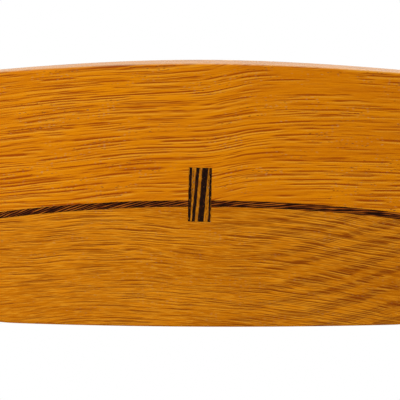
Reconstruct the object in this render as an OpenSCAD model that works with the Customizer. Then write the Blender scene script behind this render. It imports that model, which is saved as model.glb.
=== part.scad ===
// Armchair with a shaped oak rail on a tubular steel frame, and a thin leather seat.
// Millimetres. X to the sitter's left, Y to the back, Z up. The origin is on the floor,
// under the middle of the chair.

/* [Overall] */
// Width over the arms
overall_w = 630; // [600:5:660]
// Depth from the arm tips to the back of the rail
overall_d = 480; // [465:5:510]
// Height to the top of the back
overall_h = 700; // [670:5:730]

/* [Rail] */
// Outside radius of the back, seen from above
back_r = 335; // [315:5:355]
// Half of the angle that the back's own arc covers
back_half_angle = 40; // [36:1:44]
// Height of the back at its middle
back_h = 120; // [110:1:130]
// Thickness of the back
back_t = 22; // [20:0.5:26]
// Lean of the back from upright, in degrees
back_lean = 8; // [4:0.5:11]
// Rounding of the back's long edges
back_edge_r = 1.6; // [1:0.2:3]
// Width of an arm
arm_w = 60; // [52:1:66]
// Thickness of an arm
arm_t = 26; // [24:1:30]
// How far the arms lie below the top of the back
arm_drop = 28; // [20:1:36]
// Rounding of an arm's long edges
arm_edge_r = 10; // [6:0.5:11]
// Crown of an arm's upper and lower face
arm_crown = 2; // [0.5:0.5:3]
// Length of the rounding at an arm's tip
arm_tip_len = 34; // [24:1:44]
// Half-length of the back's level lower edge
belly_flat = 90; // [70:5:100]
// Length over which the lower edge sweeps up to the arm
belly_sweep = 230; // [215:5:245]
// Length over which the top edge falls to the arm
top_fall = 340; // [320:10:400]

/* [Back joint] */
// Depth of the seam below the top of the back, at the middle
seam_depth = 63.5; // [58:0.5:70]
// Radius of the arched seam
seam_r = 650; // [600:10:800]
// Thickness of the dark strip in the seam
strip_t = 2.8; // [2:0.1:5]
// Width of the dark key
key_w = 10.2; // [8:0.2:14]
// Height of the dark key
key_h = 24.5; // [20:0.5:30]
// How far the middle of the key sits above the seam
key_rise = 4; // [2:0.5:6]
// Lean of the key, in degrees
key_lean = 1.8; // [0:0.2:3]
// Distance along the rail from the middle to the arm joints
arm_joint_at = 245; // [240:1:255]
// Diameter of a dowel in an arm joint
dowel_d = 8; // [6:1:10]
// Length of a dowel
dowel_l = 44; // [36:2:48]
// Height between the two dowels of a joint
dowel_pitch = 22; // [18:1:26]

/* [Legs] */
// Outside diameter of a leg tube
leg_d = 22; // [19:0.5:24]
// Wall of a leg tube
leg_wall = 2; // [1.5:0.25:2.5]
// Distance along the rail from the middle to the rear legs
rear_leg_at = 304; // [298:1:320]
// Distance of the front legs from the arm tips
front_leg_setback = 56; // [50:1:70]
// How far the rear feet stand behind the rear leg tops
rear_rake = 90; // [60:5:105]
// How far the front feet stand before the front leg tops
front_rake = 16; // [5:1:25]
// How far the feet stand in from the leg tops
foot_tuck = 6; // [0:1:10]
// How far a leg tube reaches into the wood
tube_bite = 5; // [4.5:0.5:6]
// Diameter of the pin above a leg tube
pin_d = 14; // [12:0.5:15]
// Length of the pin above a leg tube
pin_l = 13; // [10:1:14]
// Length of the plug in the top of a leg tube
plug_l = 28; // [20:1:36]

/* [Feet] */
// Diameter of a glide's foot
glide_d = 25; // [24:0.5:28]
// Height of the glide under the tube
glide_h = 6; // [5:0.5:9]
// Length of the glide inside the tube
glide_plug_l = 18; // [12:1:26]
// Bevel round the bottom of a glide
glide_bevel = 1.6; // [1:0.2:2.2]

/* [Bows] */
// Outside diameter of a bow tube
bow_d = 18; // [16:0.5:18.5]
// Wall of a bow tube
bow_wall = 2; // [1.5:0.25:2.5]
// Where the two bows meet, from the middle of the chair
bow_meet_y = -20; // [-35:5:0]
// Width of the gap between the bows
bow_gap = 1.4; // [1:0.2:3]
// Length of the plate that joins the bows
bow_plate_l = 76; // [60:2:100]
// Width of the plate that joins the bows
bow_plate_w = 40; // [34:1:50]
// Thickness of the plate that joins the bows
bow_plate_t = 4; // [3:0.5:6]

/* [Seat] */
// Height of the middle of the seat
seat_h = 450; // [440:2:470]
// Distance of the seat's front edge from the arm tips
seat_setback = 8; // [4:1:20]
// Depth of the seat
seat_d = 424; // [410:2:432]
// Room between the seat and a leg
seat_room = 10; // [6:1:16]
// Corner radius at the front of the seat
seat_front_r = 66; // [50:2:80]
// Corner radius at the back of the seat
seat_rear_r = 104; // [90:2:116]
// Turn of the bowed front and rear edges at their ends, in degrees
seat_edge_turn = 6; // [2:1:9]
// Thickness of the seat's plywood
base_t = 12; // [10:1:15]
// Thickness of the leather
leather_t = 1.3; // [1:0.1:2]
// Height of the seat's crown
crown_h = 9; // [5:1:14]
// Height of the seat's edge above the plywood
edge_h = 18; // [14:1:24]
// Radius of the seat's upper edge
seat_edge_r = 15; // [12:1:17]
// Radius of the seat's lower edge
seat_low_r = 3.5; // [2.5:0.5:5]
// Width of the leather turned under the seat
turn_under = 26; // [20:1:32]
// Thickness of the cloth under the seat
cloth_t = 0.6; // [0.4:0.1:1]
// Number of staples that hold the leather
staple_count = 36; // [24:2:48]

/* [Seat fixing] */
// Gap between a rubber pad and the leather turned under the seat
pad_gap = 14; // [6:1:20]
// Width of a lug
lug_w = 30; // [26:1:36]
// Distance of a lug's hole from the bow tube
lug_reach = 15; // [13:0.5:18]
// Thickness of a lug
lug_t = 4; // [3:0.5:5]
// Diameter of a seat screw
screw_d = 6; // [5:0.5:6]
// Diameter of a seat screw's head
screw_head_d = 11.5; // [10.5:0.5:13]
// Height of a seat screw's head
screw_head_h = 3.6; // [3:0.2:4.4]
// Diameter of a washer
washer_d = 15; // [14:0.5:18]
// Thickness of a washer
washer_t = 1.2; // [0.8:0.2:2]
// Diameter of the rubber pad on a lug
pad_d = 20; // [16:1:24]
// Thickness of the rubber pad on a lug
pad_t = 2; // [1.6:0.2:3]
// Diameter of a tee nut's flange
nut_flange_d = 19; // [16:1:22]
// Outside diameter of a tee nut's barrel
nut_barrel_d = 8; // [7.5:0.25:9]

/* [Hidden] */
$fn = 72;

LEFT = 1;
RIGHT = -1;
FRONT = -1;
REAR = 1;

oak = "#cb770d";
dark_wood = "#2a160c";
steel = "#c9cbcd";
zinc = "#a9abad";
rubber = "#1c1c1c";
plywood = "#d8b98a";
foam = "#efe6c8";
leather = "#1d1a18";
cloth = "#2b2b2b";

glue = 0.1;          // glue line between two pieces of wood
fit = 0.05;          // radial clearance of a plug, pin or dowel
weld = 0.05;         // gap at a welded touch
lay = 0.1;           // gap between soft layers of the seat
bury = 1;            // how far a cutter runs past the surface that it cuts

// Plan of the rail. The outside of the rail, seen from above, is an arc of back_r, then an
// arc of side_r that turns to the straight arm. A place along it is the developed length
// from the middle of the back, positive on the sitter's left.
half_w = overall_w / 2;
half_d = overall_d / 2;
side_r = (half_w - back_r * sin(back_half_angle)) / (1 - sin(back_half_angle));
back_c = [0, half_d - back_r];
side_c = back_c + (back_r - side_r) * [sin(back_half_angle), cos(back_half_angle)];
deg = 180 / PI;
back_end = back_r * back_half_angle / deg;
side_end = back_end + side_r * (90 - back_half_angle) / deg;
rail_l = side_end + side_c.y + half_d;

function rail_angle(a) =
    a < back_end ? a / back_r * deg
    : a < side_end ? back_half_angle + (a - back_end) / side_r * deg
    : 90;

function outward(a) = [sin(rail_angle(a)), cos(rail_angle(a))];

function rail_line(a) =
    a < back_end ? back_c + back_r * outward(a)
    : a < side_end ? side_c + side_r * outward(a)
    : [half_w, side_c.y - (a - side_end)];

// Section of the rail, as functions of the place along it.
function ease(u) = let (v = min(1, max(0, u))) v * v * (3 - 2 * v);

swell_from = 200;    // where the rail starts to widen into the arm
swell_l = 280;       // length over which it widens
lean_from = 150;     // where the lean starts to fade
lean_l = 200;        // length over which it fades
crown_from = 260;    // where the arm's crown starts
crown_l = 200;       // length over which the crown grows
tip_end = 0.985;     // share of the tip's half ellipse that is there
tip_full = arm_tip_len / tip_end;
tip_keep = 0.97;     // share of the tip's rounding that is there

function swell(a) = ease((a - swell_from) / swell_l);
function tip_reach(a) = max(0, a - rail_l + arm_tip_len);
function tip(a) = sqrt(1 - pow(tip_reach(a) / tip_full, 2));
function rail_w(a) = back_t + (arm_w - back_t) * swell(a);
function rail_edge(a) = back_edge_r + (arm_edge_r - back_edge_r) * swell(a);
function crown(a) = arm_crown * ease((a - crown_from) / crown_l);
function cap_rise(a) = crown(a) * pow(tip(a), 2);
function lean(a) = back_lean * (1 - ease((a - lean_from) / lean_l));
function rail_top(a) = overall_h - arm_drop * ease(a / top_fall) - crown(a);
function rail_low(a) =
    overall_h - back_h
    + (back_h - arm_drop - arm_t) * ease((a - belly_flat) / belly_sweep)
    + crown(a);

// How far a rounding of radius r draws in, at the distance d from the end of it.
function drawn_in(r, d) = d >= r ? 0 : r - sqrt(max(0, r * r - (r - d) * (r - d)));

// Height that the rounding takes off the arm's tip, above and below.
function tip_thin(a) = drawn_in(rail_edge(a), tip_keep * (tip_full - tip_reach(a)));

// Half of the rail's thickness at height z, with its long edges and its tips rounded.
function rail_half(a, z) =
    let (i = drawn_in(rail_edge(a), min(z - rail_low(a), rail_top(a) - z)))
    (rail_w(a) / 2 - i) * sqrt(max(0, 1 - pow(tip_reach(a) / (tip_full - i), 2)));

// Distance in from rail_line to the middle of the rail's thickness, at height z.
function rail_mid(a, z) =
    rail_w(a) / 2 + (rail_top(a) - back_edge_r - z) * tan(lean(a));

function rail_point(s, inset, z) =
    let (a = abs(s), p = rail_line(a) - inset * outward(a))
    [s < 0 ? -p.x : p.x, p.y, z];

// The seam between the two boards of the back, and where it runs out of the lower edge.
function seam_z(a) = overall_h - seam_depth - seam_r + sqrt(seam_r * seam_r - a * a);
halvings = 24;
function crossing(up, lo = belly_flat, hi = arm_joint_at, n = halvings) =
    let (m = (lo + hi) / 2)
    n == 0 ? m
    : seam_z(m) + up > rail_low(m) ? crossing(up, m, hi, n - 1)
    : crossing(up, lo, m, n - 1);

tip_h = 0.8;         // height at which a board's thin end stops
mid_z = overall_h - seam_depth;

// A ring round the rail between the heights low and high, with caps extra points above and
// below. Every ring has the same number of points, so that rings can be joined.
ring_rows = 4;
edge_rows = [0, 0.13, 0.5];
edge_share = 0.42;   // most of a ring's height that one rounded edge may take
function ring_heights(h, e) = concat(
    e * edge_rows,
    [for (i = [0 : ring_rows]) e + (h - 2 * e) * i / ring_rows],
    [for (r = flipped(edge_rows)) h - e * r]
);

function cap(s, z, rise, caps, from) = [
    for (i = [1 : 1 : caps])
        let (a = abs(s), f = from * (1 - 2 * i / (caps + 1)))
        rail_point(s, rail_mid(a, z) - f * rail_half(a, z), z + rise * (1 - f * f))
];

function rail_ring(s, low, high, caps) =
    let (
        a = abs(s),
        zl = low(a) + tip_thin(a),
        zh = high(a) - tip_thin(a),
        e = min(rail_edge(a), edge_share * (zh - zl)),
        zs = [for (h = ring_heights(zh - zl, e)) zl + h],
        n = len(zs)
    )
    concat(
        [for (z = zs) rail_point(s, rail_mid(a, z) - rail_half(a, z), z)],
        cap(s, zh, cap_rise(a), caps, 1),
        [for (i = [n - 1 : -1 : 0]) rail_point(s, rail_mid(a, zs[i]) + rail_half(a, zs[i]), zs[i])],
        cap(s, zl, -cap_rise(a), caps, -1)
    );

function steps(from, to, n) = [for (i = [0 : n]) from + (to - from) * i / n];
function tail(list) = [for (i = [1 : 1 : len(list) - 1]) list[i]];
function flipped(list) = [for (i = [len(list) - 1 : -1 : 0]) list[i]];
function mirrored(list) = concat([for (i = [len(list) - 1 : -1 : 1]) -list[i]], list);

// Faces that join rings of n points, in rings given in order, each wound the same way.
function band_faces(rings, n) = [
    for (i = [0 : rings - 2], k = [0 : n - 1])
        let (p = i * n + k, q = i * n + (k + 1) % n)
        each [[p, q + n, q], [p, p + n, q + n]]
];

module skin(rings) {
    n = len(rings[0]);
    last = len(rings) - 1;
    polyhedron(
        points = [for (r = rings) each r],
        faces = concat(
            [[for (k = [0 : n - 1]) k]],
            band_faces(len(rings), n),
            [[for (k = [n - 1 : -1 : 0]) last * n + k]]
        ),
        convexity = 6
    );
}

module rail_piece(places, low, high, caps = 0) {
    skin([for (s = places) rail_ring(s, low, high, caps)]);
}

// Number of steps along a board, past its kink, and along an arm and its tip.
board_steps = 18;
end_steps = 4;
arm_steps = 28;
tip_steps = 10;
crown_points = 5;    // points across the crown of an arm

// Joinery of the rail.
module key_block(spare) {
    translate([0, half_d - back_t / 2, mid_z + key_rise])
        rotate([0, -key_lean, 0])
            cube([key_w + 2 * spare, 4 * back_t, key_h + 2 * spare], center = true);
}

joint_mid_z = (rail_low(arm_joint_at) + rail_top(arm_joint_at)) / 2;

module dowels(side, spare) {
    joint_z = [joint_mid_z - dowel_pitch / 2, joint_mid_z + dowel_pitch / 2];
    for (z = joint_z)
        translate(rail_point(side * arm_joint_at, rail_mid(arm_joint_at, z), z))
            rotate([0, 90, -side * rail_angle(arm_joint_at)])
                cylinder(d = dowel_d + 2 * spare, h = dowel_l + 2 * spare, center = true);
}

board_low = function (a) max(seam_z(a) + strip_t / 2 + glue, rail_low(a));
rail_high = function (a) rail_top(a);
rail_base = function (a) rail_low(a);
strip_low = function (a) max(seam_z(a) - strip_t / 2, rail_low(a));
strip_high = function (a) seam_z(a) + strip_t / 2;
belly_high = function (a) seam_z(a) - strip_t / 2 - glue;

upper_kink = crossing(strip_t / 2 + glue);
strip_kink = crossing(-strip_t / 2);
strip_end = crossing(strip_t / 2 - tip_h);
belly_end = crossing(-strip_t / 2 - glue - tip_h);

module upper_back() {
    places = concat(
        steps(0, upper_kink, board_steps),
        tail(steps(upper_kink, arm_joint_at - glue / 2, end_steps))
    );
    color(oak)
        difference() {
            rail_piece(mirrored(places), board_low, rail_high);
            key_block(glue);
            for (side = [LEFT, RIGHT])
                dowels(side, fit);
        }
}

module lower_back() {
    color(oak)
        difference() {
            rail_piece(mirrored(steps(0, belly_end, board_steps)), rail_base, belly_high);
            key_block(glue);
        }
}

module joint_strip(side) {
    places = concat(steps(0, strip_kink, board_steps), [strip_end]);
    color(dark_wood)
        mirror([side == LEFT ? 0 : 1, 0, 0])
            difference() {
                rail_piece(places, strip_low, strip_high);
                mirror([side == LEFT ? 0 : 1, 0, 0])
                    key_block(glue);
            }
}

module centre_key() {
    z = mid_z + key_rise;
    color(dark_wood)
        intersection() {
            rail_piece(
                steps(-key_w, key_w, end_steps), function (a) z - key_h, function (a) z + key_h
            );
            key_block(0);
        }
}

module arm_blank() {
    places = concat(
        steps(arm_joint_at + glue / 2, rail_l - arm_tip_len, arm_steps),
        [for (i = [1 : tip_steps]) rail_l - arm_tip_len + tip_full * sin(asin(tip_end) * i / tip_steps)]
    );
    rail_piece(places, rail_base, rail_high, crown_points);
}

module arm(side) {
    color(oak)
        mirror([side == LEFT ? 0 : 1, 0, 0])
            difference() {
                arm_blank();
                dowels(LEFT, fit);
                for (end = [FRONT, REAR])
                    along_leg(end, LEFT) {
                        translate([0, 0, leg_len(end) - tube_bite - leg_d / 2])
                            cylinder(d = leg_d + 2 * fit, h = tube_bite + leg_d / 2 + fit);
                        translate([0, 0, leg_len(end) - bury])
                            cylinder(d = pin_d + 2 * fit, h = pin_l + bury + fit);
                    }
            }
}

// Legs. A leg's axis runs from the floor to leg_top, the middle of the rail's lower face.
front_leg_at = rail_l - front_leg_setback;
function leg_at(end) = end == FRONT ? front_leg_at : rear_leg_at;
function leg_top(end) =
    let (a = leg_at(end), z = rail_low(a))
    rail_point(a, rail_mid(a, z), z - cap_rise(a));
function leg_foot(end) =
    let (t = leg_top(end))
    [t.x - foot_tuck, t.y + (end == FRONT ? -front_rake : rear_rake), 0];
function leg_way(end) = (leg_top(end) - leg_foot(end)) / norm(leg_top(end) - leg_foot(end));
function leg_len(end) = norm(leg_top(end) - leg_foot(end)) + tube_bite;
function leg_point(end, z) =
    let (f = leg_foot(end), t = leg_top(end)) f + (t - f) * z / t.z;

module along_leg(end, side) {
    f = leg_foot(end);
    w = leg_way(end);
    mirror([side == LEFT ? 0 : 1, 0, 0])
        translate(f)
            rotate([0, acos(w.z), atan2(w.y, w.x)])
                children();
}

module leg(end, side) {
    color(steel)
        along_leg(end, side)
            difference() {
                translate([0, 0, glide_h])
                    cylinder(d = leg_d, h = leg_len(end) - glide_h);
                translate([0, 0, glide_h - bury])
                    cylinder(d = leg_d - 2 * leg_wall, h = leg_len(end) - glide_h + 2 * bury);
            }
}

leg_bore = leg_d - 2 * leg_wall;

module leg_pin(end, side) {
    color(steel)
        along_leg(end, side) {
            translate([0, 0, leg_len(end) - plug_l])
                cylinder(d = leg_bore - 2 * fit, h = plug_l);
            translate([0, 0, leg_len(end) - bury])
                cylinder(d = pin_d, h = pin_l + bury);
        }
}

module glide(end, side) {
    f = leg_foot(end);
    color(rubber)
        intersection() {
            along_leg(end, side) {
                translate([0, 0, -glide_h])
                    cylinder(d = glide_d, h = 2 * glide_h);
                translate([0, 0, glide_h - bury])
                    cylinder(d = leg_bore - 2 * fit, h = glide_plug_l + bury);
            }
            translate([side * f.x, f.y, 0]) {
                cylinder(
                    r1 = glide_d / 2 - glide_bevel,
                    r2 = glide_d / 2 + glide_h,
                    h = glide_h + glide_bevel
                );
                translate([0, 0, glide_h])
                    cylinder(r = glide_d, h = 2 * glide_h + glide_plug_l);
            }
        }
}

// Bows. Each is an arc between a pair of legs, and the two meet under the seat.
base_z = seat_h - crown_h - edge_h - base_t;
lug_top = base_z - pad_t;
lug_rise = 0.5;      // how far a lug's top lies over the top of the bows
bow_z = lug_top - lug_rise - bow_d / 2;
function bow_end(end) = leg_point(end, bow_z);
function bow_apex(end) = bow_meet_y + end * (bow_d + bow_gap) / 2;
function bow_rise(end) = abs(bow_apex(end) - bow_end(end).y);
function bow_r(end) =
    let (x = bow_end(end).x, h = bow_rise(end)) (x * x + h * h) / (2 * h);
function bow_c(end) = [0, bow_apex(end) + end * bow_r(end), bow_z];
function bow_half_angle(end) = asin(bow_end(end).x / bow_r(end));

// Local +X runs from the arc's centre to the tube, at the angle given from the apex.
module on_bow(end, side, angle) {
    translate(bow_c(end))
        rotate([0, 0, -end * 90 + end * side * angle])
            children();
}

module bow_tube(end, d, spare) {
    on_bow(end, LEFT, 0)
        rotate([0, 0, -bow_half_angle(end) - spare])
            rotate_extrude(angle = 2 * bow_half_angle(end) + 2 * spare, $fn = 180)
                translate([bow_r(end), 0])
                    circle(d = d);
}

module bow(end) {
    color(steel)
        difference() {
            bow_tube(end, bow_d, 0);
            bow_tube(end, bow_d - 2 * bow_wall, 2);
            for (side = [LEFT, RIGHT])
                along_leg(end, side)
                    cylinder(d = leg_d + 2 * weld, h = leg_len(end));
        }
}

module bow_plate() {
    color(steel)
        translate([-bow_plate_l / 2, bow_meet_y - bow_plate_w / 2, bow_z - bow_d / 2 - weld - bow_plate_t])
            cube([bow_plate_l, bow_plate_w, bow_plate_t]);
}

// Number of points along the seat's edges, round its corners and along its sides.
edge_n = 3;
corner_n = 7;
side_n = 4;

// Outline of the seat. Each entry is a point and its outward direction. The straight sides
// clear the legs by seat_room, and the front and rear edges are bowed.
seat_front_y = -half_d + seat_setback;
seat_rear_y = seat_front_y + seat_d;
side_front = leg_point(FRONT, base_z) - [leg_d / 2 + seat_room, 0, 0];
side_rear = leg_point(REAR, seat_h - crown_h) - [leg_d / 2 + seat_room, 0, 0];
side_turn = atan2(side_front.x - side_rear.x, side_rear.y - side_front.y);
function side_x(y) = side_front.x - (y - side_front.y) * tan(side_turn);

function corner_c(end) =
    let (
        r = end == FRONT ? seat_front_r : seat_rear_r,
        edge_y = end == FRONT ? seat_front_y : seat_rear_y,
        bowed = tan(seat_edge_turn) * (side_x(edge_y) - r) / 2,
        y = edge_y - end * (bowed + r * cos(seat_edge_turn))
    )
    [side_x(y) - r / cos(side_turn), y, r];

// Distance in from the seat's outline, at a side or at a corner.
function from_edge(end, p) =
    let (c = corner_c(end), dx = p.x - c.x, dy = end * (p.y - c.y))
    dx > 0 && dy > 0 ? c[2] - norm([dx, dy]) : (side_x(p.y) - p.x) * cos(side_turn);

// Seat fixings. The holes of a lug, pad, washer and nut stand on one axis, as far round the
// bow as the pad stays clear of the leather.
function hole_r(end) = bow_r(end) - bow_d / 2 - lug_reach;
function on_hole_arc(end, t) =
    let (c = bow_c(end), r = hole_r(end)) [r * sin(t), c.y - end * r * cos(t), 0];
function lug_angle(end, lo = 0, hi = 90, n = halvings) =
    let (t = (lo + hi) / 2)
    n == 0 ? t
    : from_edge(end, on_hole_arc(end, t)) > turn_under + pad_d / 2 + pad_gap
        ? lug_angle(end, t, hi, n - 1)
    : lug_angle(end, lo, t, n - 1);
function hole_at(end, side) = let (p = on_hole_arc(end, lug_angle(end))) [side * p.x, p.y, 0];
hole_d = screw_d + 0.6;
recess = 0.1;        // how far a tee nut's flange lies below the plywood's face
nut_flange_t = 1.5;
nut_short = 2.5;     // how much shorter than the plywood a tee nut is
screw_short = 2;     // how far under the plywood's upper face a screw ends
socket_across = 4;   // size of the hexagon key that turns a screw
socket_depth = 2.2;
nut_l = base_t - nut_short;

module at_holes() {
    for (end = [FRONT, REAR], side = [LEFT, RIGHT])
        translate(hole_at(end, side))
            children();
}

module seat_lug(end, side) {
    color(steel)
        difference() {
            on_bow(end, side, lug_angle(end))
                translate([0, 0, lug_top - lug_t - bow_z])
                    linear_extrude(lug_t)
                        union() {
                            translate([hole_r(end), -lug_w / 2])
                                square([lug_reach + bow_d / 4, lug_w]);
                            translate([hole_r(end), 0])
                                circle(d = lug_w);
                        }
            bow_tube(end, bow_d + 2 * weld, 0);
            translate(hole_at(end, side) + [0, 0, lug_top - lug_t - bury])
                cylinder(d = hole_d, h = lug_t + 2 * bury);
        }
}

module ring(z, h, outer, inner) {
    at_holes()
        translate([0, 0, z])
            difference() {
                cylinder(d = outer, h = h);
                translate([0, 0, -bury])
                    cylinder(d = inner, h = h + 2 * bury);
            }
}

module seat_pads() {
    color(rubber)
        ring(lug_top, pad_t, pad_d, hole_d);
}

washer_z = lug_top - lug_t - washer_t;

module seat_washers() {
    color(zinc)
        ring(washer_z, washer_t, washer_d, hole_d);
}

module seat_screws() {
    color(zinc)
        at_holes()
            difference() {
                union() {
                    translate([0, 0, washer_z - screw_head_h])
                        cylinder(d = screw_head_d, h = screw_head_h);
                    translate([0, 0, washer_z - bury])
                        cylinder(d = screw_d, h = base_z + base_t - screw_short - washer_z + bury);
                }
                translate([0, 0, washer_z - screw_head_h - bury])
                    cylinder(d = socket_across / cos(30), h = socket_depth + bury, $fn = 6);
            }
}

module seat_nuts() {
    z = base_z + base_t - nut_flange_t - recess;
    color(zinc)
        at_holes()
            difference() {
                union() {
                    translate([0, 0, z])
                        cylinder(d = nut_flange_d, h = nut_flange_t);
                    translate([0, 0, z - nut_l + nut_flange_t])
                        cylinder(d = nut_barrel_d, h = nut_l);
                }
                translate([0, 0, z - nut_l])
                    cylinder(d = screw_d + 2 * fit, h = nut_l * 2);
            }
}

function edge_points(end, n) =
    let (
        c = corner_c(end),
        xa = c.x + c[2] * sin(seat_edge_turn),
        ya = c.y + end * c[2] * cos(seat_edge_turn),
        f = tan(seat_edge_turn)
    )
    [
        for (i = [0 : n - 1])
            let (x = xa * i / n, turn = atan(f * x / xa))
            [x, ya + end * f * (xa - x * x / xa) / 2, sin(turn), end * cos(turn)]
    ];

function corner_points(c, from, to, n) = [
    for (i = [0 : n])
        let (t = from + (to - from) * i / n)
        [c.x + c[2] * cos(t), c.y + c[2] * sin(t), cos(t), sin(t)]
];

half_outline = let (
    front = corner_points(corner_c(FRONT), -90 + seat_edge_turn, side_turn, corner_n),
    rear = corner_points(corner_c(REAR), side_turn, 90 - seat_edge_turn, corner_n),
    a = front[len(front) - 1],
    b = rear[0]
) concat(
    edge_points(FRONT, edge_n),
    front,
    [for (i = [1 : side_n - 1]) a + (b - a) * i / side_n],
    rear,
    flipped(edge_points(REAR, edge_n))
);
seat_outline = concat(
    half_outline,
    [for (i = [len(half_outline) - 2 : -1 : 1]) let (p = half_outline[i]) [-p.x, p.y, -p[2], p[3]]]
);
seat_centre = [0, (seat_front_y + seat_rear_y) / 2];

function inset(d) = [for (p = seat_outline) [p.x - d * p[2], p.y - d * p[3]]];
function shrunk(d, f) = [for (p = inset(d)) seat_centre + f * (p - seat_centre)];
function lifted(ring, z) = [for (p = ring) [p.x, p.y, z]];

// Rings up the cushion, from its lower edge to near the middle. off is the depth below the
// outer surface of the leather, so the same rings give both faces and the foam.
leather_z = base_z - leather_t;
edge_top = base_z + base_t + edge_h;
arc_to = 84;
crown_rings = [0.88, 0.7, 0.48, 0.24];

function low_rings(off) = [
    for (t = [90, 45, 0])
        let (r = seat_low_r - off)
        lifted(inset(seat_low_r - r * cos(t)), leather_z + seat_low_r - r * sin(t))
];
function high_rings(off) = [
    for (t = [0, 21, 42, 63, arc_to])
        let (r = seat_edge_r - off)
        lifted(inset(seat_edge_r - r * cos(t)), edge_top - seat_edge_r + r * sin(t))
];
function top_rings(off) = [
    for (f = crown_rings)
        let (r = seat_edge_r - off)
        lifted(
            shrunk(seat_edge_r - r * cos(arc_to), f),
            edge_top - seat_edge_r + r * sin(arc_to) + (seat_h - edge_top) * (1 - f * f)
        )
];
function top_pole(off) = [seat_centre.x, seat_centre.y, seat_h - off];

// A skin whose last ring closes on one point.
module dome(rings, pole) {
    n = len(rings[0]);
    last = len(rings) * n;
    polyhedron(
        points = concat([for (r = rings) each r], [pole]),
        faces = concat(
            [[for (k = [0 : n - 1]) k]],
            band_faces(len(rings), n),
            [for (k = [0 : n - 1]) [last - n + (k + 1) % n, last - n + k, last]]
        ),
        convexity = 4
    );
}

// A skin that closes on a point at both ends.
module shell(first_pole, rings, last_pole) {
    n = len(rings[0]);
    last = len(rings) * n;
    polyhedron(
        points = concat([for (r = rings) each r], [first_pole, last_pole]),
        faces = concat(
            [for (k = [0 : n - 1]) [k, (k + 1) % n, last]],
            band_faces(len(rings), n),
            [for (k = [0 : n - 1]) [last - n + (k + 1) % n, last - n + k, last + 1]]
        ),
        convexity = 6
    );
}

module seat_cover() {
    inner_low = lifted(inset(seat_low_r), base_z - lay);
    color(leather)
        shell(
            top_pole(leather_t),
            concat(
                flipped(top_rings(leather_t)),
                flipped(high_rings(leather_t)),
                [lifted(inset(leather_t), leather_z + seat_low_r)],
                [inner_low],
                [lifted(inset(turn_under), base_z - lay)],
                [lifted(inset(turn_under), leather_z)],
                low_rings(0),
                high_rings(0),
                top_rings(0)
            ),
            top_pole(0)
        );
}

module seat_foam() {
    off = leather_t + lay;
    color(foam)
        dome(
            concat([lifted(inset(off), base_z + base_t + lay)], high_rings(off), top_rings(off)),
            top_pole(off)
        );
}

module seat_base() {
    color(plywood)
        difference() {
            translate([0, 0, base_z])
                linear_extrude(base_t)
                    polygon(inset(seat_low_r));
            at_holes() {
                translate([0, 0, base_z - bury])
                    cylinder(d = nut_barrel_d + 2 * fit, h = base_t + 2 * bury);
                translate([0, 0, base_z + base_t - nut_flange_t - recess - fit])
                    cylinder(d = nut_flange_d + 2 * fit, h = base_t);
            }
        }
}

// Staples stand at even steps round the turned-under leather.
staple_l = 10;
staple_w = 1.2;
staple_t = 0.6;
staple_line = 0.62;  // where the staples stand across the turned-under leather
cloth_gap = 2;       // gap between the leather's edge and the cloth

module dust_cloth() {
    color(cloth)
        translate([0, 0, base_z - cloth_t])
            difference() {
                linear_extrude(cloth_t)
                    polygon(inset(turn_under + cloth_gap));
                at_holes()
                    translate([0, 0, -bury])
                        cylinder(d = pad_d + cloth_gap, h = cloth_t + 2 * bury);
            }
}

module cover_staples() {
    ring_of = inset(turn_under * staple_line);
    n = len(ring_of);
    color(zinc)
        for (i = [0 : staple_count - 1]) {
            at = (i + 0.5) * n / staple_count;
            k = floor(at);
            p = ring_of[k] + (ring_of[(k + 1) % n] - ring_of[k]) * (at - k);
            q = ring_of[(k + 1) % n] - ring_of[k];
            translate([p.x, p.y, leather_z - staple_t / 2])
                rotate([0, 0, atan2(q.y, q.x)])
                    cube([staple_l, staple_w, staple_t], center = true);
        }
}

upper_back();
lower_back();
joint_strip(LEFT);  // joint_strip_left
joint_strip(RIGHT);  // joint_strip_right
centre_key();
arm(LEFT);  // left_arm
arm(RIGHT);  // right_arm
color(plywood) dowels(LEFT, 0);  // arm_dowels_left
color(plywood) dowels(RIGHT, 0);  // arm_dowels_right
leg(FRONT, LEFT);  // leg_front_left
leg(FRONT, RIGHT);  // leg_front_right
leg(REAR, LEFT);  // leg_rear_left
leg(REAR, RIGHT);  // leg_rear_right
leg_pin(FRONT, LEFT);  // leg_pin_front_left
leg_pin(FRONT, RIGHT);  // leg_pin_front_right
leg_pin(REAR, LEFT);  // leg_pin_rear_left
leg_pin(REAR, RIGHT);  // leg_pin_rear_right
glide(FRONT, LEFT);  // glide_front_left
glide(FRONT, RIGHT);  // glide_front_right
glide(REAR, LEFT);  // glide_rear_left
glide(REAR, RIGHT);  // glide_rear_right
bow(FRONT);  // front_bow
bow(REAR);  // rear_bow
bow_plate();
seat_lug(FRONT, LEFT);  // seat_lug_front_left
seat_lug(FRONT, RIGHT);  // seat_lug_front_right
seat_lug(REAR, LEFT);  // seat_lug_rear_left
seat_lug(REAR, RIGHT);  // seat_lug_rear_right
seat_pads();
seat_washers();
seat_screws();
seat_nuts();
seat_base();
seat_foam();
seat_cover();
cover_staples();
dust_cloth();
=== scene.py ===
import math
from functools import partial

import bmesh
import bpy
from mathutils import Matrix, Quaternion, Vector


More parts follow.
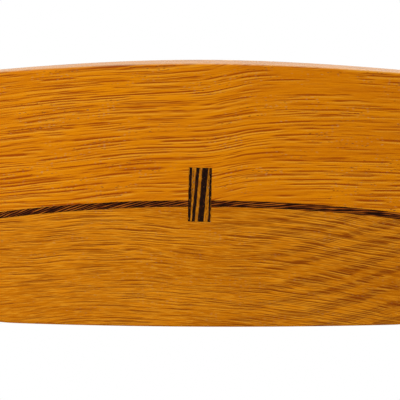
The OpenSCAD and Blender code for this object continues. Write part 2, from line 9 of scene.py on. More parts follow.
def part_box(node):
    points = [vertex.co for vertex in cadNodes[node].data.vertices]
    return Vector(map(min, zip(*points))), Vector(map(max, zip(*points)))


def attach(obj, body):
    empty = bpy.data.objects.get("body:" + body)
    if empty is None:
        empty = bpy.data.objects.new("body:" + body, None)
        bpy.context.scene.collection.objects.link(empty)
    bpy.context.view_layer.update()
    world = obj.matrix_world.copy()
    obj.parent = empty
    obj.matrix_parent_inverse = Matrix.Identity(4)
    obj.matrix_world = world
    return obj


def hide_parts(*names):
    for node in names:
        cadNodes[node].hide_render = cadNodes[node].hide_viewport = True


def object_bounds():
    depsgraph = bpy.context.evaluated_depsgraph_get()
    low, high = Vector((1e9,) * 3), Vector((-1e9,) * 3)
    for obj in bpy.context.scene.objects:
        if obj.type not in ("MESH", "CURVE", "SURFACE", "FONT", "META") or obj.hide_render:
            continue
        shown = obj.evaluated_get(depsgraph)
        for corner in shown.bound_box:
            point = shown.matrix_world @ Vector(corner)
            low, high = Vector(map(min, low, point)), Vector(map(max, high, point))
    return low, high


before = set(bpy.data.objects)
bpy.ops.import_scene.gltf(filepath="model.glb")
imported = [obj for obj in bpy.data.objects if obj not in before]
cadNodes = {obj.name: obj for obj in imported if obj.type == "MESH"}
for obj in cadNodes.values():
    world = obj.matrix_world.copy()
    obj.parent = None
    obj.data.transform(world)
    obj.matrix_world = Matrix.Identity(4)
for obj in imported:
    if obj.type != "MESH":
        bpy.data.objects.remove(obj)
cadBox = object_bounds()
scene = bpy.context.scene
left, right = 1, -1
front, rear = -1, 1
sides = ((left, "left"), (right, "right"))


def say(stage):
    print("armchair:", stage)


def linear(hexColour):
    values = [int(hexColour[i:i + 2], 16) / 255 for i in (1, 3, 5)]
    return (*[v / 12.92 if v <= 0.04045 else ((v + 0.055) / 1.055) ** 2.4 for v in values], 1)


def ease(u):
    v = min(1, max(0, u))
    return v * v * (3 - 2 * v)


def spaced(start, end, count):
    return [start + (end - start) * i / count for i in range(count + 1)]


# Objects

def addObject(name, mesh):
    piece = bpy.data.objects.new(name, mesh)
    scene.collection.objects.link(piece)
    return piece


def objectFrom(name, shape):
    mesh = bpy.data.meshes.new(name)
    shape.to_mesh(mesh)
    shape.free()
    return addObject(name, mesh)


def settle(piece):
    # turns the modified piece into a plain mesh
    graph = bpy.context.evaluated_depsgraph_get()
    mesh = bpy.data.meshes.new_from_object(piece.evaluated_get(graph))
    piece.modifiers.clear()
    piece.data = mesh


def modify(piece, kind, **settings):
    modifier = piece.modifiers.new(kind, kind)
    for name, value in settings.items():
        setattr(modifier, name, value)
    settle(piece)


def loft(name, rings):
    # joins rings of equally many points, and closes both ends
    count = len(rings[0])
    faces = [
        (i * count + k, i * count + (k + 1) % count, (i + 1) * count + (k + 1) % count, (i + 1) * count + k)
        for i in range(len(rings) - 1) for k in range(count)
    ]
    faces.append(tuple(range(count)))
    faces.append(tuple(reversed(range((len(rings) - 1) * count, len(rings) * count))))
    mesh = bpy.data.meshes.new(name)
    mesh.from_pydata([tuple(p) for ring in rings for p in ring], [], faces)
    shape = bmesh.new()
    shape.from_mesh(mesh)
    bmesh.ops.remove_doubles(shape, verts=shape.verts, dist=1e-7)
    bmesh.ops.recalc_face_normals(shape, faces=shape.faces)
    shape.to_mesh(mesh)
    shape.free()
    return addObject(name, mesh)


def rodCutter(start, end, radius, facets=72):
    way = end - start
    shape = bmesh.new()
    place = Matrix.Translation((start + end) / 2) @ way.to_track_quat("Z", "Y").to_matrix().to_4x4()
    bmesh.ops.create_cone(
        shape, cap_ends=True, segments=facets, radius1=radius, radius2=radius, depth=way.length,
        matrix=place
    )
    return objectFrom("cutter", shape)


def carve(piece, cutters, operation="DIFFERENCE"):
    for cutter in cutters:
        modify(piece, "BOOLEAN", operation=operation, solver="EXACT", object=cutter)
        bpy.data.objects.remove(cutter)


# Materials

def addNode(tree, kind, *inputs, stops=(), **settings):
    # A shader node goes by its short name, and a math node by its operation. Inputs come in order
    # or in a dictionary, hex colours among them, and stops are the places and colours of a ramp.
    if kind.isupper():
        kind, settings["operation"] = "Math", kind
    node = tree.nodes.new(kind if "Node" in kind else "ShaderNode" + kind)
    for name, value in settings.items():
        setattr(node, name, value)
    sockets = {}
    for number, value in enumerate(inputs):
        sockets.update(value if isinstance(value, dict) else {number: value})
    for name, value in sockets.items():
        if isinstance(value, bpy.types.Node):
            value = value.outputs[0]
        if isinstance(value, bpy.types.NodeSocket):
            tree.links.new(value, node.inputs[name])
        else:
            node.inputs[name].default_value = linear(value) if isinstance(value, str) else value
    for _ in stops[2:]:
        node.color_ramp.elements.new(0.5)
    for number, (place, colour) in enumerate(stops):
        element = node.color_ramp.elements[number]
        element.position, element.color = place, linear(colour)
    return node


def newMaterial(name):
    # a material, what adds nodes to it, and the place of a point in mm
    material = bpy.data.materials.new(name)
    material.use_nodes = True
    material.node_tree.nodes.clear()
    add = partial(addNode, material.node_tree)
    place = add("VectorMath", add("TexCoord").outputs["Object"], {"Scale": 1000}, operation="SCALE")
    return material, add, place


def finishMaterial(material, look, sockets=None, tone=None, wear=None, height=None, invert=False):
    # Adds the shader and its output. A tone picks from the look's colours and wear from its gloss,
    # two values of the wear and the roughness at them. A height makes its bump, a strength and a
    # depth in metres.
    add = partial(addNode, material.node_tree)
    sockets = {**look["shader"], **(sockets or {})}
    if tone:
        sockets["Base Color"] = add("ValToRGB", tone, stops=look["colours"])
    if wear:
        sockets["Roughness"] = add("MapRange", wear, *look["gloss"])
    if height:
        bump = {"Height": height, "Strength": look["bump"][0], "Distance": look["bump"][1]}
        sockets["Normal"] = add("Bump", bump, invert=invert)
    add("OutputMaterial", add("BsdfPrincipled", sockets))
    return material


def stretched(add, space, size, detail=1, kind="TexNoise", **sockets):
    # a pattern in a space measured in mm, drawn out to its size along each axis
    scale = [1 / s for s in (*size, size[-1])[:3]]
    scaled = add("Mapping", space, {"Scale": scale})
    return add(kind, scaled, {"Scale": 1, "Detail": detail, **sockets})


def addCurve(add, along, points, span=110, reach=20):
    # a line through given points: points are places along the wood and rises, both in mm
    curve = add("FloatCurve", {"Value": add("MapRange", along, -span, span)})
    line = curve.mapping.curves[0]
    while len(line.points) < len(points):
        line.points.new(0.5, 0.5)
    for point, (place, rise) in zip(line.points, points):
        point.location = (0.5 + place / span / 2, 0.5 + rise / reach / 2)
    curve.mapping.update()
    return add("MapRange", curve, 0, 1, -reach, reach)


def roundBend(add, place, radius, middleY, facing=1):
    # How far a point lies along a bend about an upright axis, how far from that axis, and how
    # high. The bend bulges to the rear, or with facing -1 to the front.
    x, y, z = add("SeparateXYZ", place).outputs
    back = add("SUBTRACT", y, middleY * 1000)
    away = add("MULTIPLY", back, facing)
    angle = add("ARCTAN2", x, away)
    along = add("MULTIPLY", angle, radius * 1000)
    across = add("VectorMath", add("CombineXYZ", x, away), operation="LENGTH").outputs["Value"]
    return along, across, z


# Oak: planed, sanded and oiled. The eye sees a warm orange ground, crisp dark lines of pores that
# swell and taper, a bright fibre beside each, fine threads between, and clusters of grey specks,
# which are painted highlights of the finish. Faces that look up get a pale painted sheen.
oakLook = {
    "pale": "#D07D00", "ground": "#C26E00", "shade": "#A44E00", "deep": "#8E3800", "bright": "#D99322",
    # the grey of the specks is painted highlights of the finish, and the last colour here is a pale painted
    # sheen on faces that look up
    "speck": "#B4895A", "pit": "#5A2C0A", "paintedSheenColour": "#E2C290",
    # mm, length and width
    "fibre": (34, 1.5), "thread": (18, 0.65), "patch": (80, 20), "fleck": (6, 0.4), "dash": (2.3, 0.5),
    "cluster": (24, 6), "warp": (46, 8), "wobble": (85, 24), "bandWaves": (30, 10),
    # lines of pores, coarse and fine: mm between them, their breadth and length, and how strong
    "lines": [
        {"pitch": 2.4, "width": 0.66, "length": 31, "range": (0.40, 0.61), "dark": 0.95, "bright": 0.7},
        {"pitch": 1.3, "width": 0.40, "length": 21, "range": (0.42, 0.64), "dark": 0.8, "bright": 0.6},
    ],
    "tilt": 0.35,                                   # how far the lines climb with depth, as a share
    "warpReach": 3.2, "sway": 2.2, "grouping": 0.6,         # mm, mm, and how much the lines crowd
    "beside": 1.3, "soft": 0.9,          # in breadths of a line: to its bright fibre, and its faded edge
    "room": (0.15, 0.85), "start": 90,   # where a line lies in its pitch, and its start, in lengths
    "crowdedSwell": 0.16,                # how much fuller the lines get where they crowd
    "dashes": [("speck", 0.60, 0.55), ("pit", 0.74, 0.85)],         # which, how rare, and how strong
    # between which values of a pattern each comes in, and how strong it gets
    "threadRange": (0.46, 0.74), "threadShare": 0.6, "fleckRange": (0.5, 0.68), "fleckShare": 0.12,
    "patchRange": (0.3, 0.7), "clusterRange": (0.48, 0.58), "dashRange": (0.34, 0.16),
    "ringRange": (-0.2, 0.9), "facingUpRange": (0.6, 0.9),
    # growth bands: mm between them, how far they wander, where they fade in, and how strong they are
    "bandPitch": 7.6, "bandWander": 7, "bandFade": (10, -60), "bandShare": 0.0,
    "bandThreads": 0.12, "bandDark": 0.36,
    "shader": {"IOR": 1.5, "Specular IOR Level": 0.03}, "gloss": (0, 1, 0.56, 0.36), "bump": (0.6, 0.00009),
    "paintedSheenShare": 0.32, "polish": 0.14,               # on faces that look up: how pale the painted sheen is, and how smooth hands have polished them
}

# Each board: drift of its fibres and growth bands as (place, rise) in mm, and what differs from
# the common look. The lower board is finer and darker, and its bands climb to one end.
upperOak = {
    **oakLook,
    "fibres": [
        (-110, 11), (-90, 11.7), (-58, 13), (-36, 13.2), (-24.7, 12.5), (-14, 10.4), (-3.6, 8.3),
        (10, 7.1), (31.5, 5.8), (90, 0), (110, -2),
    ],
    "bands": [(-110, 0), (110, 0)],
    "shift": (0, 0, 0),
}
lowerOak = {
    **oakLook,
    "pale": "#CB7A06", "ground": "#B46600", "shade": "#8C4200", "deep": "#742E00",
    "fibre": (26, 0.9), "thread": (14, 0.45),
    "lines": [
        {"pitch": 1.7, "width": 0.50, "length": 26, "range": (0.42, 0.64), "dark": 0.8, "bright": 0.45},
        {"pitch": 0.8, "width": 0.30, "length": 20, "range": (0.38, 0.64), "dark": 0.7, "bright": 0.5},
    ],
    "warp": (24, 7), "warpReach": 2.6, "threadShare": 0.75, "fleckShare": 0.5, "bandShare": 1.0,
    "dashes": [("speck", 0.60, 0.35), ("pit", 0.80, 0.4)],
    "fibres": [(-110, -16), (-90, -12.4), (-45, -4.3), (0, -0.3), (40.5, 1.7), (90, -2.4), (110, -4)],
    "bands": [(-110, 20), (-90, 15), (-54, 6), (-27, 1.5), (0, 0.2), (40.5, 1.7), (90, -2.4), (110, -4)],
    "shift": (310, 0, 40),
}
armOak = {
    **oakLook,
    "fibres": [(-110, 0), (0, 1), (110, 0)], "bands": [(-110, 0), (0, 2), (110, 0)],
    # the arms get a weaker pale painted sheen on faces that look up
    "tilt": 0.9, "sway": 1.2, "warp": (80, 14), "warpReach": 3, "paintedSheenShare": 0.26,
}


def poreLines(add, look, line, space, more):
    # distance in mm to the nearest line along the grain, signed, and how broad the line is there
    x, y, z = add("SeparateXYZ", space).outputs
    level = add("MULTIPLY_ADD", y, look["tilt"], z)
    warp = stretched(add, space, look["warp"], 3, Roughness=0.4)
    moved = add("MULTIPLY_ADD", warp, look["warpReach"], level)
    count = add("MULTIPLY", moved, 1 / line["pitch"])
    number = add("FLOOR", count)
    within = add("FRACT", count)
    chance = add("TexWhiteNoise", {"W": number}, noise_dimensions="1D").outputs["Value"]
    start = add("MULTIPLY", chance, look["start"])
    run = add("MULTIPLY_ADD", x, 1 / line["length"], start)
    swell = add("TexNoise", {"W": run, "Scale": 1, "Detail": 2}, noise_dimensions="1D")
    fuller = add("MULTIPLY_ADD", more, look["crowdedSwell"], swell)
    broad = add("MapRange", fuller, *line["range"])
    # each line lies somewhere of its own within its share
    place = add("MapRange", chance, 0, 1, *look["room"])
    off = add("SUBTRACT", within, place)
    return add("MULTIPLY", off, line["pitch"]), broad


def drawLine(add, look, distance, broad, width, offset):
    # 1 on the line, fading at its edge and where it tapers off
    moved = add("SUBTRACT", distance, offset)
    far = add("ABSOLUTE", moved)
    room = add("MULTIPLY", broad, width)
    inner = add("SUBTRACT", room, far)
    return add("MapRange", inner, 0, width * look["soft"])


def oak(name, look, bendRadius=0, bendY=0, turn=0):
    material, add, place = newMaterial(name)
    if bendRadius:
        # the grain follows the bend of the back
        along, across, up = roundBend(add, place, bendRadius, bendY)
    else:
        turned = add("Mapping", place, {"Rotation": (0, 0, turn)})
        along, across, up = add("SeparateXYZ", turned).outputs
    shifted = add("Mapping", add("CombineXYZ", along, across, up), {"Location": look["shift"]})
    wave = stretched(add, shifted, look["wobble"])
    sway = add("MapRange", wave, 0, 1, -look["sway"], look["sway"])
    spaces = []
    for line in ("fibres", "bands"):
        both = add("ADD", addCurve(add, along, look[line]), sway)
        spaces.append(add("VectorMath", shifted, add("CombineXYZ", {"Z": both}), operation="SUBTRACT"))
    fibreSpace, bandSpace = spaces

    # growth bands, which fade in along the board
    bandHeight = add("SeparateXYZ", bandSpace).outputs[2]
    wander = stretched(add, bandSpace, look["bandWaves"], 2)
    bandPlace = add("MULTIPLY_ADD", wander, look["bandWander"], bandHeight)
    turns = add("MULTIPLY", bandPlace, 2 * math.pi / look["bandPitch"])
    risen = add("MapRange", add("SINE", turns), *look["ringRange"])
    fadeIn = add("MapRange", along, *look["bandFade"], 0, look["bandShare"])
    band = add("MULTIPLY", risen, fadeIn)

    fibre = stretched(add, fibreSpace, look["fibre"], 3, Roughness=0.6)
    patch = stretched(add, fibreSpace, look["patch"])
    tone = add("MULTIPLY", add("ADD", fibre, patch), 0.5)
    colour = add("ValToRGB", tone, stops=[(0.4, look["ground"]), (0.6, look["pale"])])

    thread = stretched(add, fibreSpace, look["thread"], 2)
    denser = add("MULTIPLY_ADD", band, look["bandThreads"], thread)
    threads = add("MapRange", denser, *look["threadRange"], 0, look["threadShare"])
    darker = add("MULTIPLY_ADD", band, look["bandDark"], threads)
    colour = add("MixRGB", darker, colour, look["shade"])

    # pale flecks between the threads
    fleck = stretched(add, fibreSpace, look["fleck"])
    flecks = add("MapRange", fleck, *look["fleckRange"], 0, look["fleckShare"])
    colour = add("MixRGB", flecks, colour, look["bright"])

    # the lines crowd in some places and leave others calm
    crowding = add("MapRange", patch, *look["patchRange"], -look["grouping"], look["grouping"])
    more = add("ADD", crowding, band)
    for line in look["lines"]:
        distance, broad = poreLines(add, look, line, fibreSpace, more)
        beside = -look["beside"] * line["width"]
        for offset, share, shade in ((beside, "bright", "bright"), (0, "dark", "deep")):
            drawn = drawLine(add, look, distance, broad, line["width"], offset)
            mask = add("MULTIPLY", drawn, line[share])
            colour = add("MixRGB", mask, colour, look[shade])
        threads = add("ADD", threads, mask)

    # grey dashes, painted highlights of the finish, and dark dashes, in clusters
    inCrowd = add("MapRange", stretched(add, fibreSpace, look["cluster"]), *look["clusterRange"])
    cells = stretched(add, fibreSpace, look["dash"], 0, "TexVoronoi").outputs
    dot = add("MapRange", cells["Distance"], *look["dashRange"])
    chances = add("SeparateColor", cells["Color"]).outputs
    for channel, (shade, rare, share) in enumerate(look["dashes"]):
        chosen = add("MapRange", chances[channel], rare, rare + 0.1, 0, share)
        some = add("MULTIPLY", dot, chosen)
        dash = add("MULTIPLY", some, inCrowd)
        colour = add("MixRGB", dash, colour, look[shade])

    # faces that look up get a pale painted sheen in their colour, and hands have polished them smoother
    facingUp = add("SeparateXYZ", add("NewGeometry").outputs["Normal"]).outputs[2]
    sheenAndPolishMask = add("MapRange", facingUp, *look["facingUpRange"])
    paintedSheenMask = add("MULTIPLY", sheenAndPolishMask, look["paintedSheenShare"])
    dull = add("MapRange", fibre, *look["gloss"])
    return finishMaterial(material, look, {
        "Base Color": add("MixRGB", paintedSheenMask, colour, look["paintedSheenColour"]),
        "Roughness": add("MULTIPLY_ADD", sheenAndPolishMask, -look["polish"], dull),
    }, height=threads, invert=True)


# Wenge: planed flush with the oak and lacquered with it. The eye sees near-black wood with
# brown slanting lenses of softer tissue.
wengeLook = {
    "colours": [(0.37, "#1B0500"), (0.435, "#5C2404"), (0.53, "#A65A12")],
    "lens": (9, 0.5), "swirl": (15, 2),     # mm, length and width
    "pitch": 0.95, "swirls": 1.6,           # mm between the lenses, and how far they swirl, in lenses
    "slope": -0.175, "turning": -0.0015,    # of the lenses at the middle, and how it changes per mm
    "shader": {"IOR": 1.5, "Specular IOR Level": 0.04, "Roughness": 0.42}, "bump": (0.3, 0.0001),
}


def wenge(name, bendRadius, bendY, look=wengeLook):
    material, add, place = newMaterial(name)
    along, across, up = roundBend(add, place, bendRadius, bendY)
    slope = add("MULTIPLY_ADD", along, look["turning"], look["slope"])
    drift = add("MULTIPLY", along, slope)
    level = add("SUBTRACT", up, drift)
    slanted = add("CombineXYZ", along, across, level)
    count = add("MULTIPLY", level, 1 / look["pitch"])
    swirl = stretched(add, slanted, look["swirl"], 2)
    swirled = add("MULTIPLY_ADD", swirl, look["swirls"], count)
    layer = add("PINGPONG", swirled, 0.5)
    lens = add("MULTIPLY", add("ADD", layer, stretched(add, slanted, look["lens"])), 0.5)
    return finishMaterial(material, look, tone=lens, height=lens)


# Striped key: a slip of dark and pale wood cut so that its stripes stand upright.
keyLook = {
    "dark": [(0.5, "#120603"), (0.75, "#3C1806")], "pale": [(0.4, "#8C4E05"), (0.6, "#B87006")],
    "speck": "#B09878", "width": 10.2,          # mm
    # dark stripes from the sitter's left to right, as shares of the key's width, how far they
    # lean to the top, and between which values of the flecks they come and go
    "stripes": [
        {"places": [(0.14, 0.17), (0.825, 0.85)], "slope": 0.09, "range": (0.44, 0.52)},
        {"places": [(0.24, 0.385), (0.505, 0.77)], "slope": 0.105, "range": (0.22, 0.28)},
        {"places": [(-0.03, 0.125), (0.895, 1.0)], "slope": 0.05, "range": (0.26, 0.34)},
    ],
    "soft": 0.012,                              # of a stripe's edge, as a share of the width
    "speckRange": (0.66, 0.74), "speckShare": 0.6,      # values of the flecks, and how strong
    "ragged": (0.32, 0.88),                     # mm, at the first and last stripe
    "tears": (2, 2, 0.35),                      # of the ragged edge, per mm along each axis
    "fleck": (0.3, 0.3, 2.2), "thread": (0.4, 0.4, 12),             # mm along each axis
    "shader": wengeLook["shader"],
}


def stripedKey(name, look=keyLook):
    material, add, place = newMaterial(name)
    x, _, z = add("SeparateXYZ", place).outputs
    height = add("SUBTRACT", z, keyMiddle * 1000)
    edge = add("TexNoise", add("Mapping", place, {"Scale": look["tears"]}), {"Scale": 1, "Detail": 2})
    centred = add("SUBTRACT", edge, 0.5)
    half, soft = look["width"] / 2, look["soft"]
    reach = add("MapRange", x, half, -half, *look["ragged"])
    ragged = add("MULTIPLY_ADD", centred, reach, x)
    thread = stretched(add, place, look["thread"], 2)
    fleck = stretched(add, place, look["fleck"])
    pale = add("ValToRGB", thread, stops=look["pale"])
    dark = add("ValToRGB", thread, stops=look["dark"])
    specks = add("MapRange", fleck, *look["speckRange"], 0, look["speckShare"])
    colour = add("MixRGB", specks, pale, look["speck"])
    for stripe in look["stripes"]:
        level = add("MULTIPLY_ADD", height, stripe["slope"], ragged)
        stops = [(0, "#000000")]
        for start, end in stripe["places"]:
            stops += [(max(0, start - soft), "#000000"), (max(0, start + soft), "#FFFFFF")]
            stops += [(end - soft, "#FFFFFF"), (min(1, end + soft), "#000000")]
        striped = add("ValToRGB", add("MapRange", level, half, -half), stops=stops)
        mask = add("MULTIPLY", striped, add("MapRange", fleck, *stripe["range"]))
        colour = add("MixRGB", mask, colour, dark)
    return finishMaterial(material, look, {"Base Color": colour})


# Stainless steel tube, bent cold and belt polished. The eye sees a soft grey sheen drawn out in
# fine rings, drawn coarser than the belt's grit so that they show, and cloudy patches where hands
# have dulled it.
tubeLook = {
    "shader": {"Metallic": 1}, "gloss": (0.7, 1.3, 0.26, 0.36), "bump": (0.5, 0.00001),
    "colours": [(0.35, "#BDBCB9"), (0.7, "#B4B3B0")],
    "line": 0.7, "cloud": 38,               # mm
}
# Flat bar, cut and brushed one way.
plateLook = {**tubeLook, "gloss": (0.7, 1.3, 0.28, 0.46), "line": 0.5}
# Turned on a lathe from bright bar, with the tool's rings left on.
turnedLook = {
    **tubeLook, "colours": [(0.35, "#C2C2C2"), (0.7, "#B4B3B0")], "gloss": (0.7, 1.3, 0.18, 0.32),
    "line": 0.35, "bump": (0.5, 0.00003),
}
# Beads of weld, brushed clean: browner and rougher than the tube.
weldLook = {
    **tubeLook, "colours": [(0.35, "#A79F93"), (0.7, "#857A6C")], "gloss": (0.7, 1.3, 0.3, 0.5),
    "line": 0.9, "cloud": 4,
}
upDown, frontBack = 2, 1


def steel(name, look, across=upDown, bendRadius=0, bendY=0, facing=1):
    # the fine lines follow each other along the bend, or along one direction
    material, add, place = newMaterial(name)
    if bendRadius:
        along = roundBend(add, place, bendRadius, bendY, facing)[0]
    else:
        along = add("SeparateXYZ", place).outputs[across]
    lines = add("TexNoise", {"W": along, "Scale": 1 / look["line"], "Detail": 3}, noise_dimensions="1D")
    cloud = add("TexNoise", place, {"Scale": 1 / look["cloud"], "Detail": 3})
    return finishMaterial(material, look, tone=cloud, wear=add("ADD", lines, cloud), height=lines)


# Zinc plated steel: screws, nuts, washers and staples. The eye sees a bluish white metal, mottled
# with faint straw patches from the passivation.
zincLook = {
    "shader": {"Metallic": 1}, "gloss": (0.3, 0.7, 0.25, 0.45),
    "colours": [(0.42, "#AEB6BF"), (0.7, "#BFB69A")], "patch": 2.5,         # mm
}


def zincPlate(name, look=zincLook):
    material, add, place = newMaterial(name)
    patch = add("TexNoise", place, {"Scale": 1 / look["patch"], "Detail": 3})
    return finishMaterial(material, look, tone=patch, wear=patch)


# Moulded polyethylene glides and rubber pads. The eye sees a matt black with the fine grain of a
# spark-eroded mould, and grey scuffs where a glide meets the floor.
mouldedLook = {
    "shader": {"Specular IOR Level": 0.4}, "colours": [(0.25, "#141413"), (0.7, "#4C4946")],
    "gloss": (0, 1, 0.52, 0.92), "bump": (0.6, 0.00003),
    "grain": 0.5, "scratch": 1.2, "scuffed": (3.0, 0.4),        # mm, and the last from the floor up
}


def mouldedBlack(name, look=mouldedLook):
    material, add, place = newMaterial(name)
    low = add("MapRange", add("SeparateXYZ", place).outputs[2], *look["scuffed"])
    scratch = add("TexNoise", place, {"Scale": 1 / look["scratch"], "Detail": 3})
    worn = add("MULTIPLY", low, scratch)
    grain = add("TexNoise", place, {"Scale": 1 / look["grain"], "Detail": 2})
    return finishMaterial(material, look, tone=worn, wear=worn, height=grain)


# Birch plywood, sawn and sanded. The eye sees pale silky faces, and at the sawn edge thin layers
# that are pale and brown in turn.
plywoodLook = {
    "shader": {"Roughness": 0.6}, "bump": (0.3, 0.0001), "plies": 9, "grain": (40, 1.6),
    "colours": [(0, "#7C5730"), (0.04, "#BE9761"), (0.3, "#BE9761"), (0.5, "#DFC597")],
}


def plywood(name, lowZ, highZ, look=plywoodLook):
    material, add, place = newMaterial(name)
    height = add("SeparateXYZ", place).outputs[2]
    layer = add("MapRange", height, lowZ * 1000, highZ * 1000, 0, look["plies"])
    turns = add("PINGPONG", layer, 1)
    grain = stretched(add, place, look["grain"], 4)
    return finishMaterial(material, look, tone=add("MULTIPLY", turns, grain), height=grain)


# Beech dowels, turned and compressed. The eye sees a pinkish straw wood with short brown flecks.
beechLook = {
    "shader": {"Roughness": 0.6}, "bump": (0.3, 0.0001), "grain": (6, 0.7),
    "colours": [(0.5, "#D9B384"), (0.72, "#A8703F")],
}


def beech(name, look=beechLook):
    material, add, place = newMaterial(name)
    fleck = stretched(add, place, look["grain"], 2)
    return finishMaterial(material, look, tone=fleck, height=fleck)


# Leather: drum-dyed cowhide with a thin finish. The eye sees black-brown pebbles with fine creases
# between them, and a brown rub on the pebbles' tops.
leatherLook = {
    "shader": {"IOR": 1.5, "Specular IOR Level": 0.32}, "gloss": (0, 0.7, 0.56, 0.36),
    "colours": [(0.05, "#0A0706"), (0.4, "#19130F"), (0.75, "#3A2A20")],
    "pebble": 1.8, "wander": 5.0, "patch": 60, "crease": (70, 26),          # mm
    # how far up its edge a pebble or a crease is round, and the bump of each
    "pebbleEdge": 0.28, "creaseEdge": 0.08, "pebbleBump": (0.8, 0.00014), "creaseBump": (0.25, 0.0012),
}


def leather(name, look=leatherLook):
    material, add, place = newMaterial(name)
    bend = add("TexNoise", place, {"Scale": 1 / look["wander"], "Detail": 2}).outputs["Color"]
    moved = add("VectorMath", bend, (look["pebble"],) * 3, place, operation="MULTIPLY_ADD")
    pebble = add("TexVoronoi", moved, {"Scale": 1 / look["pebble"]}, feature="DISTANCE_TO_EDGE")
    top = add("MapRange", pebble, 0, look["pebbleEdge"], interpolation_type="SMOOTHSTEP")
    patch = add("TexNoise", place, {"Scale": 1 / look["patch"], "Detail": 3})
    rub = add("MULTIPLY", top, patch)
    # shallow creases that run from side to side, where the seat gives
    crease = stretched(add, place, look["crease"], 2, Distortion=0.6)
    ridge = add("SUBTRACT", crease, 0.5)
    folded = add("ABSOLUTE", ridge)
    soft = add("MapRange", folded, 0, look["creaseEdge"], interpolation_type="SMOOTHSTEP")
    normal = {}
    for height, (strength, depth) in ((soft, look["creaseBump"]), (top, look["pebbleBump"])):
        bump = {"Height": height, "Strength": strength, "Distance": depth, **normal}
        normal = {"Normal": add("Bump", bump)}
    return finishMaterial(material, look, normal, tone=rub, wear=rub)


# Spun-bonded lining cloth: melted fibres pressed together at small points. The eye sees a matt
# black felt with a grid of pressed dots.
liningLook = {
    "shader": {"Roughness": 0.9, "Sheen Weight": 0.2}, "bump": (0.7, 0.00016),
    "colours": [(0.35, "#0B0B0B"), (0.75, "#454340")],
    "strand": (6, 0.45), "dot": 2.0,       # mm
    "dotRange": (0.22, 0.3), "layers": [(0, 0), (40, 60), (80, 120)],       # mm and degrees
}


def lining(name, look=liningLook):
    material, add, place = newMaterial(name)
    strands = None
    for shift, turn in look["layers"]:
        turned = add("Mapping", place, (shift, 0, 0), (0, 0, math.radians(turn)))
        strand = stretched(add, turned, look["strand"])
        strands = add("MAXIMUM", strands, strand) if strands else strand
    dots = add("TexVoronoi", place, {"Scale": 1 / look["dot"], "Randomness": 0})
    height = add("MULTIPLY", strands, add("MapRange", dots, *look["dotRange"]))
    return finishMaterial(material, look, tone=height, height=height)


# Polyurethane foam, cut from a block. The eye sees cream cells about a millimetre across.
foamLook = {
    "shader": {"Roughness": 0.95}, "bump": (0.8, 0.0004),
    "colours": [(0.15, "#B9A66F"), (0.5, "#EADFB9")], "cell": 1.2,
}


def openFoam(name, look=foamLook):
    material, add, place = newMaterial(name)
    cells = add("TexVoronoi", place, {"Scale": 1 / look["cell"]})
    return finishMaterial(material, look, tone=cells, height=cells)


# Rail: the back and the arms. A place along it is the developed length from the middle.
rail = {
    "halfWidth": cadBox[1].x, "backY": cadBox[1].y, "tipY": cadBox[0].y, "topZ": cadBox[1].z,
    "backRadius": 0.335, "backHalfAngle": math.radians(40), "backHeight": 0.120,
    "backThick": 0.022, "backLean": math.radians(8), "backEdge": 0.0016,
    "armWidth": 0.060, "armThick": 0.026, "armDrop": 0.028, "armEdge": 0.010, "armCrown": 0.002,
    "tipLength": 0.034, "tipEnd": 0.9995, "tipKeep": 0.97,
    # what changes along it, where that starts and over what length
    "belly": (0.090, 0.230), "fall": (0, 0.340), "swell": (0.200, 0.280), "upright": (0.150, 0.200),
    "crown": (0.260, 0.200),
    "armJoint": 0.245, "glue": 0.0001, "fit": 0.00005,
    "ringStep": 0.003, "faceRows": 12, "edgeRows": 9, "capPoints": 9, "tipSteps": 22,
    "leastFlat": 0.16,                      # of the height, left between the rounded edges
}
backCentre = Vector((0, rail["backY"] - rail["backRadius"]))
sine = math.sin(rail["backHalfAngle"])
sideRadius = (rail["halfWidth"] - rail["backRadius"] * sine) / (1 - sine)
sideCentre = backCentre + (rail["backRadius"] - sideRadius) * Vector((sine, math.cos(rail["backHalfAngle"])))
backEnd = rail["backRadius"] * rail["backHalfAngle"]
sideEnd = backEnd + sideRadius * (math.pi / 2 - rail["backHalfAngle"])
railEnd = sideEnd + sideCentre.y - rail["tipY"]
tipFull = rail["tipLength"] / rail["tipEnd"]


def railAngle(a):
    if a < backEnd:
        return a / rail["backRadius"]
    return min(math.pi / 2, rail["backHalfAngle"] + (a - backEnd) / sideRadius)


def outward(a):
    return Vector((math.sin(railAngle(a)), math.cos(railAngle(a))))


def railLine(a):
    if a < backEnd:
        return backCentre + rail["backRadius"] * outward(a)
    if a < sideEnd:
        return sideCentre + sideRadius * outward(a)
    return Vector((rail["halfWidth"], sideCentre.y - (a - sideEnd)))


def change(what, a):
    start, length = rail[what]
    return ease((a - start) / length)


def railWidth(a):
    return rail["backThick"] + (rail["armWidth"] - rail["backThick"]) * change("swell", a)


def railEdge(a):
    return rail["backEdge"] + (rail["armEdge"] - rail["backEdge"]) * change("swell", a)


def crown(a):
    return rail["armCrown"] * change("crown", a)


def tipReach(a):
    return max(0, a - railEnd + rail["tipLength"])


def capRise(a):
    return crown(a) * (1 - (tipReach(a) / tipFull) ** 2)


def lean(a):
    return rail["backLean"] * (1 - change("upright", a))


def railTop(a):
    return rail["topZ"] - rail["armDrop"] * change("fall", a) - crown(a)


def railLow(a):
    rise = rail["backHeight"] - rail["armDrop"] - rail["armThick"]
    return rail["topZ"] - rail["backHeight"] + rise * change("belly", a) + crown(a)


def drawnIn(radius, depth):
    # how far a rounding draws in, at that depth from its end
    if depth >= radius:
        return 0
    return radius - math.sqrt(max(0, radius * radius - (radius - depth) ** 2))


def railHalf(a, z):
    inset = drawnIn(railEdge(a), min(z - railLow(a), railTop(a) - z))
    return (railWidth(a) / 2 - inset) * math.sqrt(max(0, 1 - (tipReach(a) / (tipFull - inset)) ** 2))


def railMiddle(a, z):
    return railWidth(a) / 2 + (railTop(a) - rail["backEdge"] - z) * math.tan(lean(a))


def railPoint(s, inset, z):
    a = abs(s)
    p = railLine(a) - inset * outward(a)
    return Vector((math.copysign(p.x, s), p.y, z))


